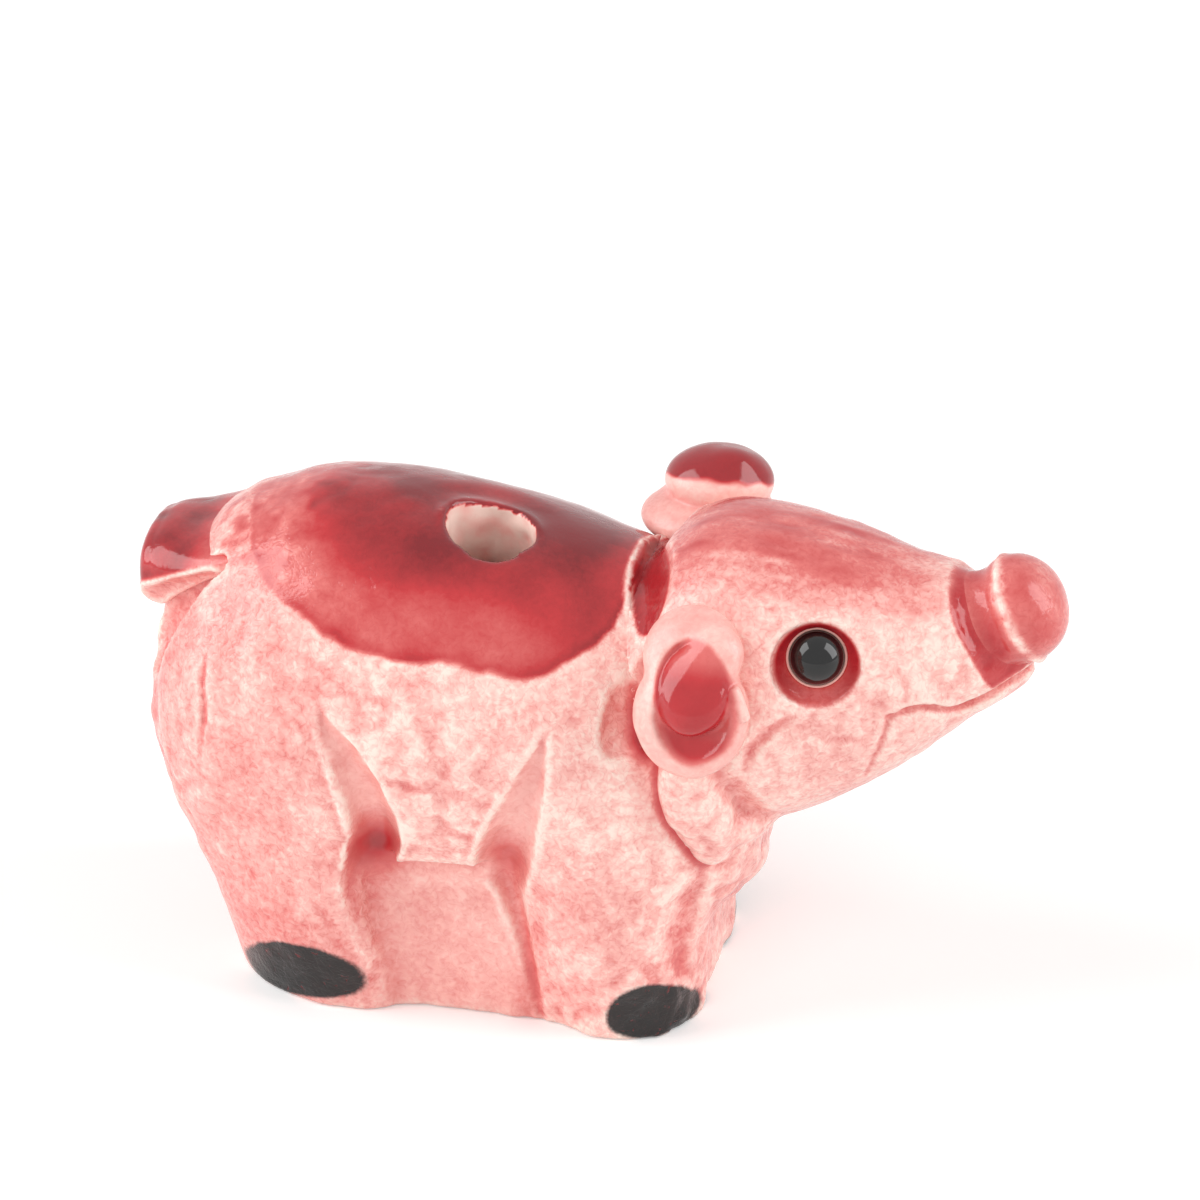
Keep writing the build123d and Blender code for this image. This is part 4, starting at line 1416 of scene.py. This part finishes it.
class CLAYPIG_OT_tail(bpy.types.Operator):
    """Sculpts the tail"""

    bl_idname = "claypig.tail"
    bl_label = "Tail"

    def execute(self, context):
        sizes = context.scene.clay_pig_sizes
        block = Block.spanning(*TAIL_SPAN, mm(sizes.fine_step))
        tail = tail_field(block, sizes)
        body = carve_body(block, barrel_and_mass(block)[1], sizes)
        form = cut(tail, body + np.float32(LUMP_BED), JOINT_EASE)
        piece = mesh_piece("tail_clay", *skin(form, block))
        spots = mesh_points(piece)
        x, y, z = spots.T
        thick = 0.92 - 0.3 * ramp(x, -30.5, -27.5) + 0.1 * dapple(spots, 1.5, 35)
        start, end, wide = (np.array(part) for part in TAIL_HOLLOW)
        away, run = np.stack((x, np.abs(y), z), axis=1) - start, end - start
        t = np.clip(away @ run / (run @ run), 0, 1)
        gap = np.linalg.norm(away - t[:, None] * run, axis=1) - wide[0] - (wide[1] - wide[0]) * t
        crest = bell(gap, 0.25, 0.22)
        thick = (thick + (0.26 - thick) * ramp(gap, 0.2, 0.0)) * (1 - 0.85 * crest)
        glaze(piece, tail, block, thick)
        dress(piece, "tail", glazed_earthenware())
        return {"FINISHED"}


class CLAYPIG_OT_eyes(bpy.types.Operator):
    """Turns the glass beads and their cement beds"""

    bl_idname = "claypig.eyes"
    bl_label = "Eyes"

    def execute(self, context):
        glass, bed = black_glass(), cement()
        for side_name, side in SIDES.items():
            rim, axes = eye_place(side)
            turn = Matrix([list(a) for a in axes]).transposed().to_4x4()
            seat = Matrix.Translation(Vector(rim - EYE_DEPTH * axes[2]) * MM) @ turn
            bead = self.arc(-math.pi / 2, math.pi / 2, 33)
            self.turned(f"{side_name}_bead", bead, seat, glass, f"{side_name}_eye", "black_glass")
            cup = [*BED_PROFILE, *self.arc(0, -math.pi / 2, 17)]
            self.turned(f"{side_name}_bed", cup, seat, bed, f"{side_name}_eye_cement", "cement")
        return {"FINISHED"}

    def arc(self, start, end, count):
        """Points of radius and height along the bead's outline."""
        angles = np.linspace(start, end, count)
        return [(BEAD_RADIUS * math.cos(a), BEAD_RADIUS * math.sin(a)) for a in angles]

    def turned(self, name, profile, seat, material, node, slot):
        """A closed form turned from a profile of radius and height."""
        bm = bmesh.new()
        ring = [bm.verts.new((r * MM, 0, h * MM)) for r, h in profile]
        edges = [bm.edges.new(pair) for pair in zip(ring, ring[1:])]
        bmesh.ops.spin(
            bm, geom=ring + edges, cent=(0, 0, 0), axis=(0, 0, 1),
            angle=2 * math.pi, steps=64, use_merge=True,
        )
        bmesh.ops.remove_doubles(bm, verts=bm.verts[:], dist=1e-6)
        bmesh.ops.recalc_face_normals(bm, faces=bm.faces[:])
        bmesh.ops.transform(bm, matrix=seat, verts=bm.verts[:])
        mesh = bpy.data.meshes.new(name)
        bm.to_mesh(mesh)
        bm.free()
        mesh.shade_smooth()
        piece = bpy.data.objects.new(name, mesh)
        bpy.context.scene.collection.objects.link(piece)
        dress(piece, node, material)


class CLAYPIG_OT_stage(bpy.types.Operator):
    """Sets up the floor, the lamps and the camera"""

    bl_idname = "claypig.stage"
    bl_label = "Studio"

    def execute(self, context):
        scene = context.scene
        scene.view_settings.view_transform = "Standard"
        self.floor(scene)
        self.world(scene)
        for name, (place, size, power) in LAMPS.items():
            data = bpy.data.lights.new(name, "AREA")
            data.shape, data.energy = "RECTANGLE", power
            data.size, data.size_y = size
            lamp = bpy.data.objects.new(name, data)
            lamp.location = place
            lamp.rotation_euler = (LAMPS_AIM - lamp.location).to_track_quat("-Z", "Y").to_euler()
            # The fill softens the shadows, and only the softboxes are mirrored in the glaze
            lamp.visible_glossy = "softbox" in name
            scene.collection.objects.link(lamp)
        self.camera(scene)
        return {"FINISHED"}

    def floor(self, scene):
        """A wide sheet of white paper."""
        mesh = bpy.data.meshes.new("floor")
        half = 3.0
        corners = [(-half, -half, 0), (half, -half, 0), (half, half, 0), (-half, half, 0)]
        mesh.from_pydata(corners, [], [(0, 1, 2, 3)])
        floor = bpy.data.objects.new("floor", mesh)
        floor.location.z = -0.05 * MM
        scene.collection.objects.link(floor)
        material = bpy.data.materials.new("matte studio paper")
        tree = nodes_of(material)
        # Reads as white to the eye, far off too where no lamp reaches, and still takes the shadow
        place = add(tree, "ShaderNodeTexCoord").outputs["Object"]
        away = add(tree, "ShaderNodeVectorMath", {"operation": "LENGTH"}, i0=place).outputs["Value"]
        white = add(tree, "ShaderNodeMapRange", SMOOTH, i0=away, i1=0.25, i2=0.9, i3=0.16, i4=0.7).outputs[0]
        lift = add(tree, "ShaderNodeMath", {"operation": "MULTIPLY"}, i0=self.seen(tree), i1=white).outputs[0]
        shader = add(
            tree, "ShaderNodeBsdfPrincipled",
            **{
                "Base Color": (*scene.clay_pig_colours.floor, 1.0), "Roughness": 0.9,
                "Emission Color": (1.0, 1.0, 1.0, 1.0), "Emission Strength": lift,
            },
        )
        add(tree, "ShaderNodeOutputMaterial", Surface=shader.outputs[0])
        mesh.materials.append(material)

    def seen(self, tree):
        """1 for what the eye sees, straight, mirrored in the glaze or through glass."""
        path = add(tree, "ShaderNodeLightPath").outputs
        seen = path["Is Camera Ray"]
        for ray in ("Is Glossy Ray", "Is Transmission Ray"):
            seen = add(tree, "ShaderNodeMath", {"operation": "MAXIMUM"}, i0=seen, i1=path[ray]).outputs[0]
        return seen

    def world(self, scene):
        """Even light from all round, that reads as white to the eye."""
        scene.world = bpy.data.worlds.new("studio")
        tree = nodes_of(scene.world)
        strength = add(tree, "ShaderNodeMapRange", i0=self.seen(tree), i1=0.0, i2=1.0, i3=0.4, i4=1.0)
        light = add(tree, "ShaderNodeBackground", Color=(1.0, 1.0, 1.0, 1.0), Strength=strength.outputs[0])
        add(tree, "ShaderNodeOutputWorld", Surface=light.outputs[0])

    def camera(self, scene):
        """Takes the photo's place, with the origin where it shows in the photo."""
        right = Vector((math.cos(VIEW_TURN), math.sin(VIEW_TURN), 0))
        lean, rise = math.sin(VIEW_HEIGHT), math.cos(VIEW_HEIGHT)
        up = Vector((-math.sin(VIEW_TURN) * lean, math.cos(VIEW_TURN) * lean, rise))
        back = right.cross(up)
        middle = IMAGE_PIXELS / 2
        target = right * (middle - ORIGIN_PIXEL[0]) + up * (ORIGIN_PIXEL[1] - middle)
        target = target / PIXELS_PER_METRE
        data = bpy.data.cameras.new("camera")
        data.sensor_width = 36.0
        data.lens = data.sensor_width * VIEW_DISTANCE * PIXELS_PER_METRE / IMAGE_PIXELS
        data.clip_start, data.clip_end = 0.01, 20.0
        camera = bpy.data.objects.new("camera", data)
        camera.location = target + back * VIEW_DISTANCE
        camera.rotation_euler = (-back).to_track_quat("-Z", "Y").to_euler()
        scene.collection.objects.link(camera)
        scene.camera = camera


class CLAYPIG_PT_panel(bpy.types.Panel):
    """Sizes, colours and pieces of the clay pig"""

    bl_idname = "CLAYPIG_PT_panel"
    bl_label = "Clay pig"
    bl_space_type = "VIEW_3D"
    bl_region_type = "UI"
    bl_category = "Clay pig"

    def draw(self, context):
        for group in (context.scene.clay_pig_sizes, context.scene.clay_pig_colours):
            box = self.layout.box()
            for key in group.bl_rna.properties.keys():
                if key not in ("rna_type", "name"):
                    box.prop(group, key)
        for operator in OPERATORS:
            self.layout.operator(operator.bl_idname)


OPERATORS = (
    CLAYPIG_OT_body,
    CLAYPIG_OT_head,
    CLAYPIG_OT_snout,
    CLAYPIG_OT_ears,
    CLAYPIG_OT_tail,
    CLAYPIG_OT_eyes,
    CLAYPIG_OT_stage,
)
CLASSES = (ClayPigSizes, ClayPigColours, *OPERATORS, CLAYPIG_PT_panel)


def register():
    """Makes the sizes, the colours, the operators and the panel known to Blender."""
    for cls in CLASSES:
        bpy.utils.register_class(cls)
    bpy.types.Scene.clay_pig_sizes = PointerProperty(type=ClayPigSizes)
    bpy.types.Scene.clay_pig_colours = PointerProperty(type=ClayPigColours)


def unregister():
    """Takes them out again."""
    del bpy.types.Scene.clay_pig_colours
    del bpy.types.Scene.clay_pig_sizes
    for cls in reversed(CLASSES):
        bpy.utils.unregister_class(cls)


def main():
    """Makes every piece and the stage."""
    register()
    bpy.ops.claypig.body()
    bpy.ops.claypig.head()
    bpy.ops.claypig.snout()
    bpy.ops.claypig.ears()
    bpy.ops.claypig.tail()
    bpy.ops.claypig.eyes()
    bpy.ops.claypig.stage()


if __name__ == "__main__":
    main()
